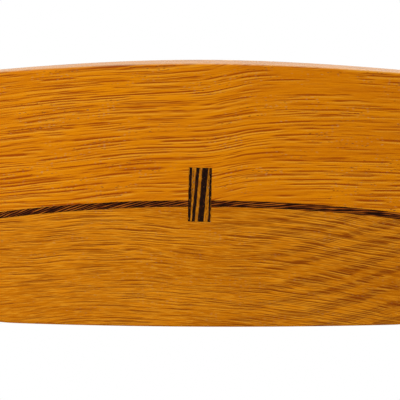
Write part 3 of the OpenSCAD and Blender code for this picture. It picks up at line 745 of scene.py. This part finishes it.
def railRing(s, low, high, capPoints):
    a = abs(s)
    thin = drawnIn(railEdge(a), rail["tipKeep"] * (tipFull - tipReach(a)))
    bottom, top = low(a) + thin, high(a) - thin
    edge = min(railEdge(a), (0.5 - rail["leastFlat"] / 2) * (top - bottom))
    rounding = [edge * (1 - math.cos(math.pi / 2 * i / rail["edgeRows"])) for i in range(rail["edgeRows"])]
    heights = [bottom + h for h in rounding]
    heights += spaced(bottom + edge, top - edge, rail["faceRows"])
    heights += [top - h for h in reversed(rounding)]
    ring = [railPoint(s, railMiddle(a, z) - railHalf(a, z), z) for z in heights]
    for z, rise, side in ((top, capRise(a), 1), (bottom, -capRise(a), -1)):
        if side < 0:
            ring += [railPoint(s, railMiddle(a, h) + railHalf(a, h), h) for h in reversed(heights)]
        for i in range(1, capPoints + 1):
            f = side * (1 - 2 * i / (capPoints + 1))
            ring.append(railPoint(s, railMiddle(a, z) - f * railHalf(a, z), z + rise * (1 - f * f)))
    return ring


def railPiece(name, places, low, high, capPoints=3):
    return loft(name, [railRing(s, low, high, capPoints) for s in places])


def alongRail(start, end):
    return spaced(start, end, max(4, round((end - start) / rail["ringStep"])))


def bothWays(places):
    return [-a for a in reversed(places[1:])] + places


# Joint of the back: two boards, a dark strip between them and a striped key across it.
joint = {
    "seamDepth": 0.0635, "seamRadius": 0.650, "strip": 0.0028, "thinEnd": 0.0008,
    "keyWidth": 0.0102, "keyHeight": 0.0245, "keyRise": 0.004, "keyLean": math.radians(1.8),
    "dowel": 0.008, "dowelLength": 0.044, "dowelPitch": 0.022,
}
keyMiddle = rail["topZ"] - joint["seamDepth"] + joint["keyRise"]


def seam(a):
    radius = joint["seamRadius"]
    return rail["topZ"] - joint["seamDepth"] - radius + math.sqrt(radius * radius - a * a)


def crossing(lift):
    # where the seam, lifted that much, runs out of the lower edge
    low, high = rail["belly"][0], rail["armJoint"]
    for _ in range(40):
        middle = (low + high) / 2
        if seam(middle) + lift > railLow(middle):
            low = middle
        else:
            high = middle
    return low


def keyCutter(spare):
    size = (joint["keyWidth"] + 2 * spare, 4 * rail["backThick"], joint["keyHeight"] + 2 * spare)
    place = Matrix.Translation((0, rail["backY"] - rail["backThick"] / 2, keyMiddle))
    place @= Matrix.Rotation(-joint["keyLean"], 4, "Y") @ Matrix.Diagonal((*size, 1))
    shape = bmesh.new()
    bmesh.ops.create_cube(shape, size=1, matrix=place)
    return objectFrom("cutter", shape)


def dowelCutters(side):
    a = rail["armJoint"]
    middle = (railLow(a) + railTop(a)) / 2
    way = Vector((math.cos(railAngle(a)) * side, -math.sin(railAngle(a)), 0))
    reach = way * (joint["dowelLength"] / 2 + rail["fit"])
    cutters = []
    for z in (middle - joint["dowelPitch"] / 2, middle + joint["dowelPitch"] / 2):
        p = railPoint(side * a, railMiddle(a, z), z)
        cutters.append(rodCutter(p - reach, p + reach, joint["dowel"] / 2 + rail["fit"], 32))
    return cutters


# Legs: their axes, from the floor to the middle of the rail's lower face.
leg = {
    "diameter": 0.022, "rearAt": 0.304, "frontSetback": 0.056, "rake": {front: -0.016, rear: 0.090},
    "footTuck": 0.006, "bite": 0.005, "pin": 0.014, "pinLength": 0.013, "overlap": 0.001,
}


def legTop(end):
    a = railEnd - leg["frontSetback"] if end == front else leg["rearAt"]
    z = railLow(a)
    return railPoint(a, railMiddle(a, z), z - capRise(a))


def legFoot(end):
    top = legTop(end)
    return Vector((top.x - leg["footTuck"], top.y + leg["rake"][end], 0))


def legPoint(end, z):
    foot, top = legFoot(end), legTop(end)
    return foot + (top - foot) * z / top.z


def mirrored(point, side):
    return Vector((side * point.x, point.y, point.z))


def socketCutters(side):
    cutters = []
    for end in (front, rear):
        foot, top = mirrored(legFoot(end), side), mirrored(legTop(end), side)
        way = (top - foot).normalized()
        seat = top + way * leg["bite"]
        tubeRadius = leg["diameter"] / 2
        tubeEnd = seat + way * rail["fit"]
        cutters.append(rodCutter(seat - way * (leg["bite"] + tubeRadius), tubeEnd, tubeRadius + rail["fit"]))
        pinEnd = seat + way * (leg["pinLength"] + rail["fit"])
        cutters.append(rodCutter(seat - way * leg["overlap"], pinEnd, leg["pin"] / 2 + rail["fit"]))
    return cutters


def finishPiece(piece, material, slotName, *stoodFor, sharpAngle=32):
    mesh = piece.data
    mesh.materials.clear()
    mesh.materials.append(material)
    mesh.polygons.foreach_set("use_smooth", [True] * len(mesh.polygons))
    mesh.set_sharp_from_angle(angle=math.radians(sharpAngle))
    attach(piece, "root")
    if stoodFor:
        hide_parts(*stoodFor)


halfStrip = joint["strip"] / 2
upperKink = crossing(halfStrip + rail["glue"])
lowerEnd = crossing(-halfStrip - rail["glue"] - joint["thinEnd"])
stripKink = crossing(-halfStrip)
stripEnd = crossing(halfStrip - joint["thinEnd"])
jointEnd = rail["armJoint"] - rail["glue"] / 2
backMaterial = {"bendRadius": rail["backRadius"], "bendY": backCentre.y}

upperBoard = railPiece(
    "oak_upper_back", bothWays(alongRail(0, upperKink) + alongRail(upperKink, jointEnd)[1:]),
    lambda a: max(seam(a) + halfStrip + rail["glue"], railLow(a)), railTop
)
carve(upperBoard, [keyCutter(rail["glue"]), *dowelCutters(left), *dowelCutters(right)])
finishPiece(upperBoard, oak("oiled oak, upper board", upperOak, **backMaterial), "oak", "upper_back")

lowerBoard = railPiece(
    "oak_lower_back", bothWays(alongRail(0, lowerEnd)),
    railLow, lambda a: seam(a) - halfStrip - rail["glue"]
)
carve(lowerBoard, [keyCutter(rail["glue"])])
finishPiece(lowerBoard, oak("oiled oak, lower board", lowerOak, **backMaterial), "oak", "lower_back")

wengeStrip = wenge("wenge strip", **backMaterial)
for side, word in sides:
    places = [side * a for a in alongRail(0, stripKink) + [stripEnd]]
    strip = railPiece(
        "wenge_strip_" + word, places,
        lambda a: max(seam(a) - halfStrip, railLow(a)), lambda a: seam(a) + halfStrip
    )
    carve(strip, [keyCutter(rail["glue"])])
    finishPiece(strip, wengeStrip, "dark_wood", "joint_strip_" + word)

keyReach = joint["keyHeight"]
key = railPiece(
    "striped_key", spaced(-joint["keyWidth"], joint["keyWidth"], 8),
    lambda a: keyMiddle - keyReach, lambda a: keyMiddle + keyReach
)
carve(key, [keyCutter(0)], "INTERSECT")
finishPiece(key, stripedKey("striped key wood"), "dark_wood", "centre_key")
say("back made")

tipStart, tipSteps = railEnd - rail["tipLength"], rail["tipSteps"]
armPlaces = alongRail(rail["armJoint"] + rail["glue"] / 2, tipStart)
for i in range(1, tipSteps + 1):
    armPlaces.append(tipStart + tipFull * math.sin(math.asin(rail["tipEnd"]) * i / tipSteps))
for side, word in sides:
    arm = railPiece("oak_arm_" + word, [side * a for a in armPlaces], railLow, railTop, rail["capPoints"])
    carve(arm, dowelCutters(side) + socketCutters(side))
    start = railPoint(side * rail["armJoint"], railWidth(rail["armJoint"]) / 2, 0)
    end = railPoint(side * railEnd, railWidth(railEnd) / 2, 0)
    chord = math.atan2(end.y - start.y, end.x - start.x)
    grain = {**armOak, "shift": (500 + 200 * side, 60, -30)}
    finishPiece(arm, oak("oiled oak, arm " + word, grain, turn=-chord), "oak", word + "_arm")
say("arms made")

# Seat: foam on a plywood board, in a leather cover that is pulled under the board and stapled.
seat = {
    "height": 0.450, "setback": 0.008, "depth": 0.424, "room": 0.010,
    "radius": {front: 0.066, rear: 0.104}, "turn": math.radians(6),
    "board": 0.012, "leather": 0.0013, "crown": 0.009, "edge": 0.018,
    "edgeRadius": 0.015, "lowRadius": 0.0035, "turnUnder": 0.026, "lay": 0.0001,
    "foamRoom": 0.0024,                  # the foam is pressed together under the leather
    "outlineStep": 0.004, "topStep": 0.012, "lowSteps": 4, "edgeSteps": 8, "edgeArc": math.radians(84),
}
seatFront = cadBox[0].y + seat["setback"]
seatRear = seatFront + seat["depth"]
seatMiddle = Vector((0, (seatFront + seatRear) / 2))
edgeTop = seat["height"] - seat["crown"]
boardTop = edgeTop - seat["edge"]
boardLow = boardTop - seat["board"]
leatherLow = boardLow - seat["leather"]


def legClear(end, z):
    p = legPoint(end, z)
    return Vector((p.x - leg["diameter"] / 2 - seat["room"], p.y))


sideFront, sideRear = legClear(front, boardLow), legClear(rear, edgeTop)
sideTurn = math.atan2(sideFront.x - sideRear.x, sideRear.y - sideFront.y)


def sideX(y):
    return sideFront.x - (y - sideFront.y) * math.tan(sideTurn)


def seatEdge(end):
    # half of the bowed front or rear edge from the middle, then the corner: points and outward ways
    radius = seat["radius"][end]
    edgeY = seatFront if end == front else seatRear
    slope = math.tan(seat["turn"])
    bowed = slope * (sideX(edgeY) - radius) / 2
    y = edgeY - end * (bowed + radius * math.cos(seat["turn"]))
    middle = Vector((sideX(y) - radius / math.cos(sideTurn), y))
    xa = middle.x + radius * math.sin(seat["turn"])
    ya = middle.y + end * radius * math.cos(seat["turn"])
    edge = []
    for x in spaced(0, xa, round(xa / seat["outlineStep"]))[:-1]:
        t = math.atan(slope * x / xa)
        place = Vector((x, ya + end * slope * (xa - x * x / xa) / 2))
        edge.append((place, Vector((math.sin(t), end * math.cos(t)))))
    start, stop = end * (math.pi / 2 - seat["turn"]), sideTurn
    for t in spaced(start, stop, round(radius * abs(stop - start) / seat["outlineStep"])):
        way = Vector((math.cos(t), math.sin(t)))
        edge.append((middle + radius * way, way))
    return edge


def seatOutline():
    half = seatEdge(front)
    rearHalf = list(reversed(seatEdge(rear)))
    start, stop = half[-1][0], rearHalf[0][0]
    count = round((stop - start).length / seat["outlineStep"])
    half += [(start.lerp(stop, i / count), half[-1][1]) for i in range(1, count)] + rearHalf
    return half + [(Vector((-p.x, p.y)), Vector((-n.x, n.y))) for p, n in reversed(half[1:-1])]


outline = seatOutline()


def inset(distance, z):
    return [Vector((*(p - distance * n), z)) for p, n in outline]


def seatRings(depth, lowZ=None):
    # the cushion's outer form, or one that lies deeper in it, from its lower edge to near its middle
    radius, low = seat["edgeRadius"] - depth, seat["lowRadius"] - depth
    rings = []
    if lowZ is None:
        for i in range(seat["lowSteps"] + 1):
            t = math.pi / 2 * (1 - i / seat["lowSteps"])
            z = leatherLow + seat["lowRadius"] - low * math.sin(t)
            rings.append(inset(seat["lowRadius"] - low * math.cos(t), z))
    else:
        rings.append(inset(depth, lowZ))
    for i in range(seat["edgeSteps"] + 1):
        t = seat["edgeArc"] * i / seat["edgeSteps"]
        z = edgeTop - seat["edgeRadius"] + radius * math.sin(t)
        rings.append(inset(seat["edgeRadius"] - radius * math.cos(t), z))
    last = rings[-1]
    count = round(seat["depth"] / 2 / seat["topStep"])
    for i in range(1, count):
        f = 1 - i / count
        rise = seat["crown"] * (1 - f * f)
        rings.append([Vector((*(seatMiddle + f * (p.xy - seatMiddle)), p.z + rise)) for p in last])
    return rings


# Leather cover: pulled tight over the foam, so that it swells a little between the edges.
cover = {
    "slack": 0.001, "voxel": 0.005, "pressure": 4, "frames": 20, "most": 0.003,
    "stretch": 25, "bending": 2,            # how stiff the leather is
    "held": 0.006,                          # how far above the board's top it is still held
    # folds: their depth, the distance between them, where they start and how fast they grow, and
    # the turn from the edges to the corner in which they come and go
    "pleats": 0.0006, "pleatPitch": 0.011, "pleatFrom": 0.004, "pleatGrow": 0.010, "pleatTurn": 0.3,
    "flatSide": 0.1, "flatEnd": 0.05,       # turn without folds at a corner's two ends
    "underReach": 0.001,                    # what lies lower than this is under the board
}


def coverForm(slack):
    # starts slightly smaller than the finished cover, because it swells
    rings = seatRings(0)
    top = boardTop + cover["held"]
    for ring in rings:
        for p, (_, n) in zip(ring, outline):
            share = ease((p.z - boardTop) / cover["held"])
            p.xy = p.xy - slack * share * n
            p.z -= slack * ease((p.z - top) / (edgeTop - top))
    return loft("leather_seat_cover", rings)


def swellCover(piece):
    # air under the leather lifts it, the foam keeps it from sinking in, and its own strength
    # stops it after a few millimetres
    start = [(v.co.copy(), v.normal.copy()) for v in piece.data.vertices]
    held = piece.vertex_groups.new(name="held")
    for v in piece.data.vertices:
        held.add([v.index], 1 - ease((v.co.z - boardTop) / cover["held"]), "REPLACE")
    cloth = piece.modifiers.new("swell", "CLOTH")
    cloth.settings.vertex_group_mass = "held"
    cloth.settings.use_pressure = True
    cloth.settings.uniform_pressure_force = cover["pressure"]
    cloth.settings.effector_weights.gravity = 0
    cloth.settings.tension_stiffness = cloth.settings.compression_stiffness = cover["stretch"]
    cloth.settings.bending_stiffness = cover["bending"]
    cloth.point_cache.frame_start, cloth.point_cache.frame_end = 1, cover["frames"]
    for number in range(1, cover["frames"] + 1):
        scene.frame_set(number)
    settle(piece)
    scene.frame_set(1)
    for v, (before, normal) in zip(piece.data.vertices, start):
        rise = max(0, (v.co - before).dot(normal))
        v.co = before + normal * cover["most"] * rise ** 2 / (rise ** 2 + cover["most"] ** 2)
    piece.vertex_groups.clear()


def openUnderside(piece):
    # cuts the leather off where it ends under the board, and lays the cut on its line
    rim = [p.xy for p in inset(seat["turnUnder"], 0)]
    shape = bmesh.new()
    shape.from_mesh(piece.data)
    limit = leatherLow + cover["underReach"]

    def inside(p):
        # how far a point lies inside the line where the leather ends
        near = min(range(len(rim)), key=lambda i: (rim[i] - p).length_squared)
        return (rim[near] - p).dot(outline[near][1])

    middles = [(f, f.calc_center_median()) for f in shape.faces]
    away = [f for f, middle in middles if middle.z < limit and inside(middle.xy) > 0]
    bmesh.ops.delete(shape, geom=away, context="FACES")
    for v in shape.verts:
        if v.is_boundary:
            v.co.xy = min(rim, key=lambda p: (p - v.co.xy).length_squared)
            v.co.z = leatherLow
    shape.to_mesh(piece.data)
    shape.free()


def pleatCorners(piece):
    # the leather gathers in shallow folds where it is pulled round the corners under the board
    for v in piece.data.vertices:
        if v.co.z > leatherLow + cover["pleats"]:
            continue
        near, way = min(outline, key=lambda pn: (pn[0] - v.co.xy).length_squared)
        turn = math.atan2(abs(way.y), abs(way.x))
        atCorner = ease((turn - sideTurn - cover["flatSide"]) / cover["pleatTurn"])
        atCorner *= ease((math.pi / 2 - seat["turn"] - cover["flatEnd"] - turn) / cover["pleatTurn"])
        radius = seat["radius"][front if way.y < 0 else rear]
        wave = 0.5 - 0.5 * math.cos(2 * math.pi * turn * radius / cover["pleatPitch"])
        share = ease(((near - v.co.xy).length - cover["pleatFrom"]) / cover["pleatGrow"])
        v.co.z -= cover["pleats"] * wave * wave * atCorner * share


leatherCover = coverForm(cover["slack"])
modify(leatherCover, "REMESH", mode="VOXEL", voxel_size=cover["voxel"])
swellCover(leatherCover)
openUnderside(leatherCover)
modify(leatherCover, "SUBSURF", levels=1, render_levels=1)
pleatCorners(leatherCover)
modify(leatherCover, "SOLIDIFY", thickness=seat["leather"], offset=-1)
finishPiece(leatherCover, leather("drum-dyed leather"), "leather", "seat_cover", sharpAngle=60)
say("cover made")

foamCore = loft("foam_core", seatRings(seat["leather"] + seat["foamRoom"], boardTop + seat["lay"]))
finishPiece(foamCore, openFoam("cut polyurethane foam"), "foam", "seat_foam", sharpAngle=60)

# Lining under the seat: stapled at its edge, so that its middle hangs a little.
underside = {"gap": 0.0008, "cloth": 0.0006, "sag": 0.0007, "step": 0.012, "hole": 0.022, "cut": 0.01}


def padMiddle(side, end):
    places = [v.co.xy for v in cadNodes["seat_pads"].data.vertices]
    mine = [p for p in places if p.x * side > 0 and (p.y - seatMiddle.y) * end > 0]
    low = Vector((min(p.x for p in mine), min(p.y for p in mine)))
    high = Vector((max(p.x for p in mine), max(p.y for p in mine)))
    return (low + high) / 2


edgeRing = inset(seat["turnUnder"] + underside["gap"], boardLow)
count = round(seat["depth"] / 2 / underside["step"])
clothRings = []
for i in range(count):
    f = 1 - i / count
    drop = underside["sag"] * (1 - f * f) ** 2
    clothRings.append([Vector((*(seatMiddle + f * (p.xy - seatMiddle)), boardLow - drop)) for p in edgeRing])
lowerRings = [[p - Vector((0, 0, underside["cloth"])) for p in ring] for ring in clothRings]
dustCloth = loft("seat_dust_cloth", list(reversed(clothRings)) + lowerRings)
holes = []
for p in [padMiddle(side, end) for side in (left, right) for end in (front, rear)]:
    high, low = (Vector((*p, boardLow + lift)) for lift in (underside["cut"], -underside["cut"]))
    holes.append(rodCutter(high, low, underside["hole"] / 2, 48))
carve(dustCloth, holes)
finishPiece(dustCloth, lining("spun-bonded lining cloth"), "dust_cloth", "dust_cloth")


# Geometry Nodes for what repeats or follows a line.

def newTree(name, sizes):
    # a tree, what adds nodes to it, and its named inputs
    tree = bpy.data.node_groups.new(name, "GeometryNodeTree")
    tree.interface.new_socket("Geometry", in_out="OUTPUT", socket_type="NodeSocketGeometry")
    kinds = {"Geometry": "Geometry", **{label: "Float" for label in sizes}, "Material": "Material"}
    if "Count" in kinds:
        kinds["Count"] = "Int"
    for label, kind in kinds.items():
        tree.interface.new_socket(label, in_out="INPUT", socket_type="NodeSocket" + kind)
    add = partial(addNode, tree)
    return tree, add, add("NodeGroupInput").outputs


def finishTree(add, geometry, material):
    real = add("GeometryNodeRealizeInstances", geometry)
    painted = add("GeometryNodeSetMaterial", {"Geometry": real, "Material": material})
    add("NodeGroupOutput", painted)


def runTree(piece, tree, values):
    generator = piece.modifiers.new(tree.name, "NODES")
    generator.node_group = tree
    for item in tree.interface.items_tree:
        if item.name in values:
            generator[item.identifier] = values[item.name]
    settle(piece)


def lineObject(name, lines, closed):
    # an edge chain through each list of points
    points, edges = [], []
    for line in lines:
        first = len(points)
        points += [tuple(p) for p in line]
        edges += [(first + i, first + i + 1) for i in range(len(line) - 1)]
        if closed:
            edges.append((first + len(line) - 1, first))
    mesh = bpy.data.meshes.new(name)
    mesh.from_pydata(points, edges, [])
    return addObject(name, mesh)


# Staples: flattened wire whose ends dive into the leather.
staples = {"Count": 36, "Length": 0.010, "Width": 0.0012, "Thickness": 0.0006, "Dive": 0.0007}
# where they stand across the leather turned under, and how finely and squarely they are bent
stapleForm = {"line": 0.62, "points": 11, "sides": 8, "squareness": 6}


def stapleTree():
    tree, add, size = newTree("staples", staples)
    row = add("GeometryNodeMeshToCurve", size["Geometry"])
    places = add("GeometryNodeCurveToPoints", {"Curve": row, "Count": size["Count"]}, mode="COUNT").outputs
    half = add("MULTIPLY", size["Length"], 0.5)
    start = add("CombineXYZ", add("MULTIPLY", half, -1))
    wire = add("GeometryNodeCurvePrimitiveLine", {"Start": start, "End": add("CombineXYZ", half)})
    bent = add("GeometryNodeResampleCurve", {"Curve": wire, "Count": stapleForm["points"]})
    along = add("SeparateXYZ", add("GeometryNodeInputPosition"))
    share = add("DIVIDE", along, half)
    far = add("MULTIPLY", share, share)
    steep = add("POWER", far, stapleForm["squareness"])
    rise = add("MULTIPLY", steep, size["Dive"])
    crown = add("GeometryNodeSetPosition", {"Geometry": bent, "Offset": add("CombineXYZ", {"Z": rise})})
    radius = add("MULTIPLY", size["Width"], 0.5)
    ring = add("GeometryNodeCurvePrimitiveCircle", {"Resolution": stapleForm["sides"], "Radius": radius})
    flat = add("DIVIDE", size["Thickness"], size["Width"])
    profile = add("GeometryNodeTransform", {"Geometry": ring, "Scale": add("CombineXYZ", 1, flat, 1)})
    staple = add("GeometryNodeCurveToMesh", {"Curve": crown, "Profile Curve": profile, "Fill Caps": True})
    turn = add(
        "FunctionNodeAlignRotationToVector", {"Vector": places["Tangent"]}, axis="X", pivot_axis="Z"
    )
    copies = add("GeometryNodeInstanceOnPoints", {
        "Points": places["Points"], "Instance": staple, "Rotation": turn
    })
    finishTree(add, copies, size["Material"])
    return tree


zinc = zincPlate("zinc plated steel")
stapleZ = leatherLow - staples["Thickness"] / 2
stapleRing = inset(seat["turnUnder"] * stapleForm["line"], stapleZ)
stapleRow = lineObject("seat_staples", [stapleRing], closed=True)
runTree(stapleRow, stapleTree(), {**staples, "Material": zinc})
finishPiece(stapleRow, zinc, "zinc_steel", "cover_staples", sharpAngle=50)
say("seat made")

# Bows: two bent tubes that cross under the seat and carry it.
bow = {"diameter": 0.018, "meetY": -0.020, "gap": 0.0014, "lugWidth": 0.030, "lugUnder": 0.005}
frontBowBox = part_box("front_bow")
bowZ = (frontBowBox[0][2] + frontBowBox[1][2]) / 2


def bowArc(end):
    # radius and the y of the middle
    reach = legPoint(end, bowZ)
    apex = bow["meetY"] + end * (bow["diameter"] + bow["gap"]) / 2
    rise = abs(apex - reach.y)
    radius = (reach.x ** 2 + rise ** 2) / (2 * rise)
    return radius, apex + end * radius


def onBow(end, angle, radius, z):
    middle = bowArc(end)[1]
    return Vector((radius * math.sin(angle), middle - end * radius * math.cos(angle), z))


def lugAngle(end, side):
    # a lug is the same on both sides of its own middle line
    name = "seat_lug_" + ("front" if end == front else "rear") + ("_left" if side == left else "_right")
    places = [v.co.xy for v in cadNodes[name].data.vertices]
    middle = sum(places, Vector((0, 0))) / len(places)
    return math.atan2(middle.x, -end * (middle.y - bowArc(end)[1]))


# Beads of weld: their lines, on which a rippled bead is drawn.
beads = {"Radius": 0.0015, "Step": 0.00035, "Ripple": 0.0013, "Depth": 0.16}
# how far the lines lie inside the plate's ends and the bows' middle lines, and over the plate
beadPlaces = {"plateEnd": 0.002, "plateSide": 0.006, "plateLift": 0.0011, "lugSide": 0.0076}
# steps along each line, corners round a bead, and how unevenly thick it is
beadForm = {"leg": 48, "plate": 30, "lug": 14, "sides": 10, "swells": 0.7, "swell": (0.75, 1.25)}


def legBead(end, side):
    # where the end of a bow meets its leg
    radius, _ = bowArc(end)
    reach = legPoint(end, bowZ)
    angle = math.asin(reach.x / radius)
    way = -Vector((math.cos(angle), end * math.sin(angle), 0))
    upright = (legTop(end) - legFoot(end)).normalized()
    cross = way.cross(upright).normalized()
    upright = cross.cross(way)
    tube, post = bow["diameter"] / 2, leg["diameter"] / 2
    line = []
    for turn in spaced(0, 2 * math.pi, beadForm["leg"])[:-1]:
        v = tube * math.sin(turn)
        w = math.sqrt(post ** 2 - v ** 2)
        p = reach + way * w + upright * (tube * math.cos(turn)) + cross * v
        line.append(mirrored(p, side))
    return line


def plateBead(end):
    # where the outer side of a bow meets the plate under the crossing
    low, high = (Vector(c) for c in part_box("bow_plate"))
    half = (high.x - low.x) / 2 - beadPlaces["plateEnd"]
    reach = bowArc(end)[0] - beadPlaces["plateSide"]
    z = high.z + beadPlaces["plateLift"]
    return [onBow(end, math.asin(x / reach), reach, z) for x in spaced(-half, half, beadForm["plate"])]


def lugBead(end, side):
    reach = bowArc(end)[0] - beadPlaces["lugSide"]
    middle = lugAngle(end, side)
    half = bow["lugWidth"] / 2 / reach
    angles = spaced(middle - half, middle + half, beadForm["lug"])
    return [onBow(end, a, reach, bowZ + bow["lugUnder"]) for a in angles]


def beadTree():
    tree, add, size = newTree("weld beads", beads)
    line = add("GeometryNodeMeshToCurve", size["Geometry"])
    fine = add("GeometryNodeResampleCurve", {"Curve": line, "Length": size["Step"]}, mode="LENGTH")
    along = add("GeometryNodeSplineParameter").outputs["Length"]
    turns = add("DIVIDE", along, size["Ripple"])
    wave = add("SINE", add("MULTIPLY", turns, 2 * math.pi))
    uneven = add("TexNoise", turns, {"Scale": beadForm["swells"], "Detail": 1})
    drift = add("MapRange", uneven, 0, 1, *beadForm["swell"])
    thick = add("MULTIPLY_ADD", wave, size["Depth"], drift)
    ring = add("GeometryNodeCurvePrimitiveCircle", {
        "Resolution": beadForm["sides"], "Radius": size["Radius"]
    })
    bead = add("GeometryNodeCurveToMesh", {
        "Curve": fine, "Profile Curve": ring, "Scale": thick, "Fill Caps": True
    })
    finishTree(add, bead, size["Material"])
    return tree


weldMaterial = steel("brushed weld bead", weldLook)
tree = beadTree()
corners = [(end, side) for end in (front, rear) for side in (left, right)]
legLines = [legBead(*corner) for corner in corners]
otherLines = [plateBead(front), plateBead(rear)] + [lugBead(*corner) for corner in corners]
for name, lines, closed in (("leg_weld_beads", legLines, True), ("bow_weld_beads", otherLines, False)):
    welded = lineObject(name, lines, closed)
    runTree(welded, tree, {**beads, "Material": weldMaterial})
    finishPiece(welded, weldMaterial, "steel_tube", sharpAngle=60)
say("welds made")

# What stays as the model has it gets its finish.
black = mouldedBlack("moulded black plastic and rubber")
plate = steel("brushed steel plate", plateLook, across=frontBack)
finishes = [
    ("leg_pin", steel("turned steel", turnedLook)),
    ("leg_", steel("satin steel tube, legs", tubeLook)),
    ("front_bow", steel("satin steel tube, front bow", tubeLook, upDown, *bowArc(front), -front)),
    ("rear_bow", steel("satin steel tube, rear bow", tubeLook, upDown, *bowArc(rear), -rear)),
    ("bow_plate", plate),
    ("seat_lug", plate),
    ("glide", black),
    ("seat_pads", black),
    ("seat_base", plywood("birch plywood", boardLow, boardTop)),
    ("arm_dowels", beech("beech dowel")),
    ("seat_", zinc),
]
for name, node in cadNodes.items():
    for start, material in finishes:
        if name.startswith(start):
            node.data.materials.clear()
            node.data.materials.append(material)
            break
say("finishes given")

# Light, floor and camera.
stage = {
    "floorRadius": 2.6, "floorFade": (1.3, 2.4), "floorColour": "#EFEDEA",
    "floorRoughness": 0.9, "worldStrength": 0.56,
    "lamps": [
        # place, size in metres, watts
        ((1.7, 2.1, 1.7), 1.8, 46),
        ((-1.9, 0.9, 1.7), 1.6, 6),
        ((-0.8, -2.2, 2.2), 2.0, 34),
        ((0.2, -0.3, 2.8), 1.6, 10),
    ],
    "lampAim": (0, 0, 0.5),
}


def floorMaterial():
    # fades into the white surroundings
    material, add, place = newMaterial("pale studio floor")
    finish = {"Base Color": stage["floorColour"], "Roughness": stage["floorRoughness"]}
    shader = add("BsdfPrincipled", finish)
    away = add("VectorMath", place, operation="LENGTH").outputs["Value"]
    near, far = (1000 * reach for reach in stage["floorFade"])
    fade = add("MapRange", away, near, far, interpolation_type="SMOOTHSTEP")
    add("OutputMaterial", add("MixShader", fade, shader, add("Emission", "#FFFFFF")))
    return material


floorShape = bmesh.new()
bmesh.ops.create_circle(floorShape, cap_ends=True, segments=128, radius=stage["floorRadius"])
floor = objectFrom("floor", floorShape)
floor.data.materials.append(floorMaterial())

scene.world = bpy.data.worlds.new("studio")
scene.world.use_nodes = True
scene.world.node_tree.nodes.clear()
add = partial(addNode, scene.world.node_tree)
rays = add("LightPath").outputs
seen = 0
for kind in ("Is Camera Ray", "Is Glossy Ray", "Is Transmission Ray"):
    seen = add("MAXIMUM", rays[kind], seen)
strength = add("MapRange", seen, 0, 1, stage["worldStrength"], 1)
add("OutputWorld", add("Background", "#FFFFFF", strength))

for number, (place, size, watts) in enumerate(stage["lamps"]):
    lamp = bpy.data.lights.new(f"softbox {number}", "AREA")
    lamp.shape, lamp.size, lamp.energy = "DISK", size, watts
    holder = addObject(lamp.name, lamp)
    holder.location = place
    holder.rotation_mode = "QUATERNION"
    holder.rotation_quaternion = (Vector(stage["lampAim"]) - Vector(place)).to_track_quat("-Z", "Y")

# The photograph looks at the middle of the back from behind and slightly above.
lens = {
    "aim": (0, 0.2313, 0.6381), "distance": 4.0, "lookDown": math.radians(5.8),
    "round": math.radians(4), "fieldOfView": math.radians(2.56), "roll": math.radians(-0.2),
}
cameraData = bpy.data.cameras.new("camera")
cameraData.lens = cameraData.sensor_width / 2 / math.tan(lens["fieldOfView"] / 2)
camera = addObject("camera", cameraData)
behind = Vector((0, math.cos(lens["lookDown"]), math.sin(lens["lookDown"])))
behind.rotate(Matrix.Rotation(lens["round"], 3, "Z"))
camera.location = Vector(lens["aim"]) + lens["distance"] * behind
camera.rotation_mode = "QUATERNION"
camera.rotation_quaternion = (-behind).to_track_quat("-Z", "Y") @ Quaternion((0, 0, 1), lens["roll"])
scene.camera = camera
scene.view_settings.view_transform = "Standard"
say("stage set")
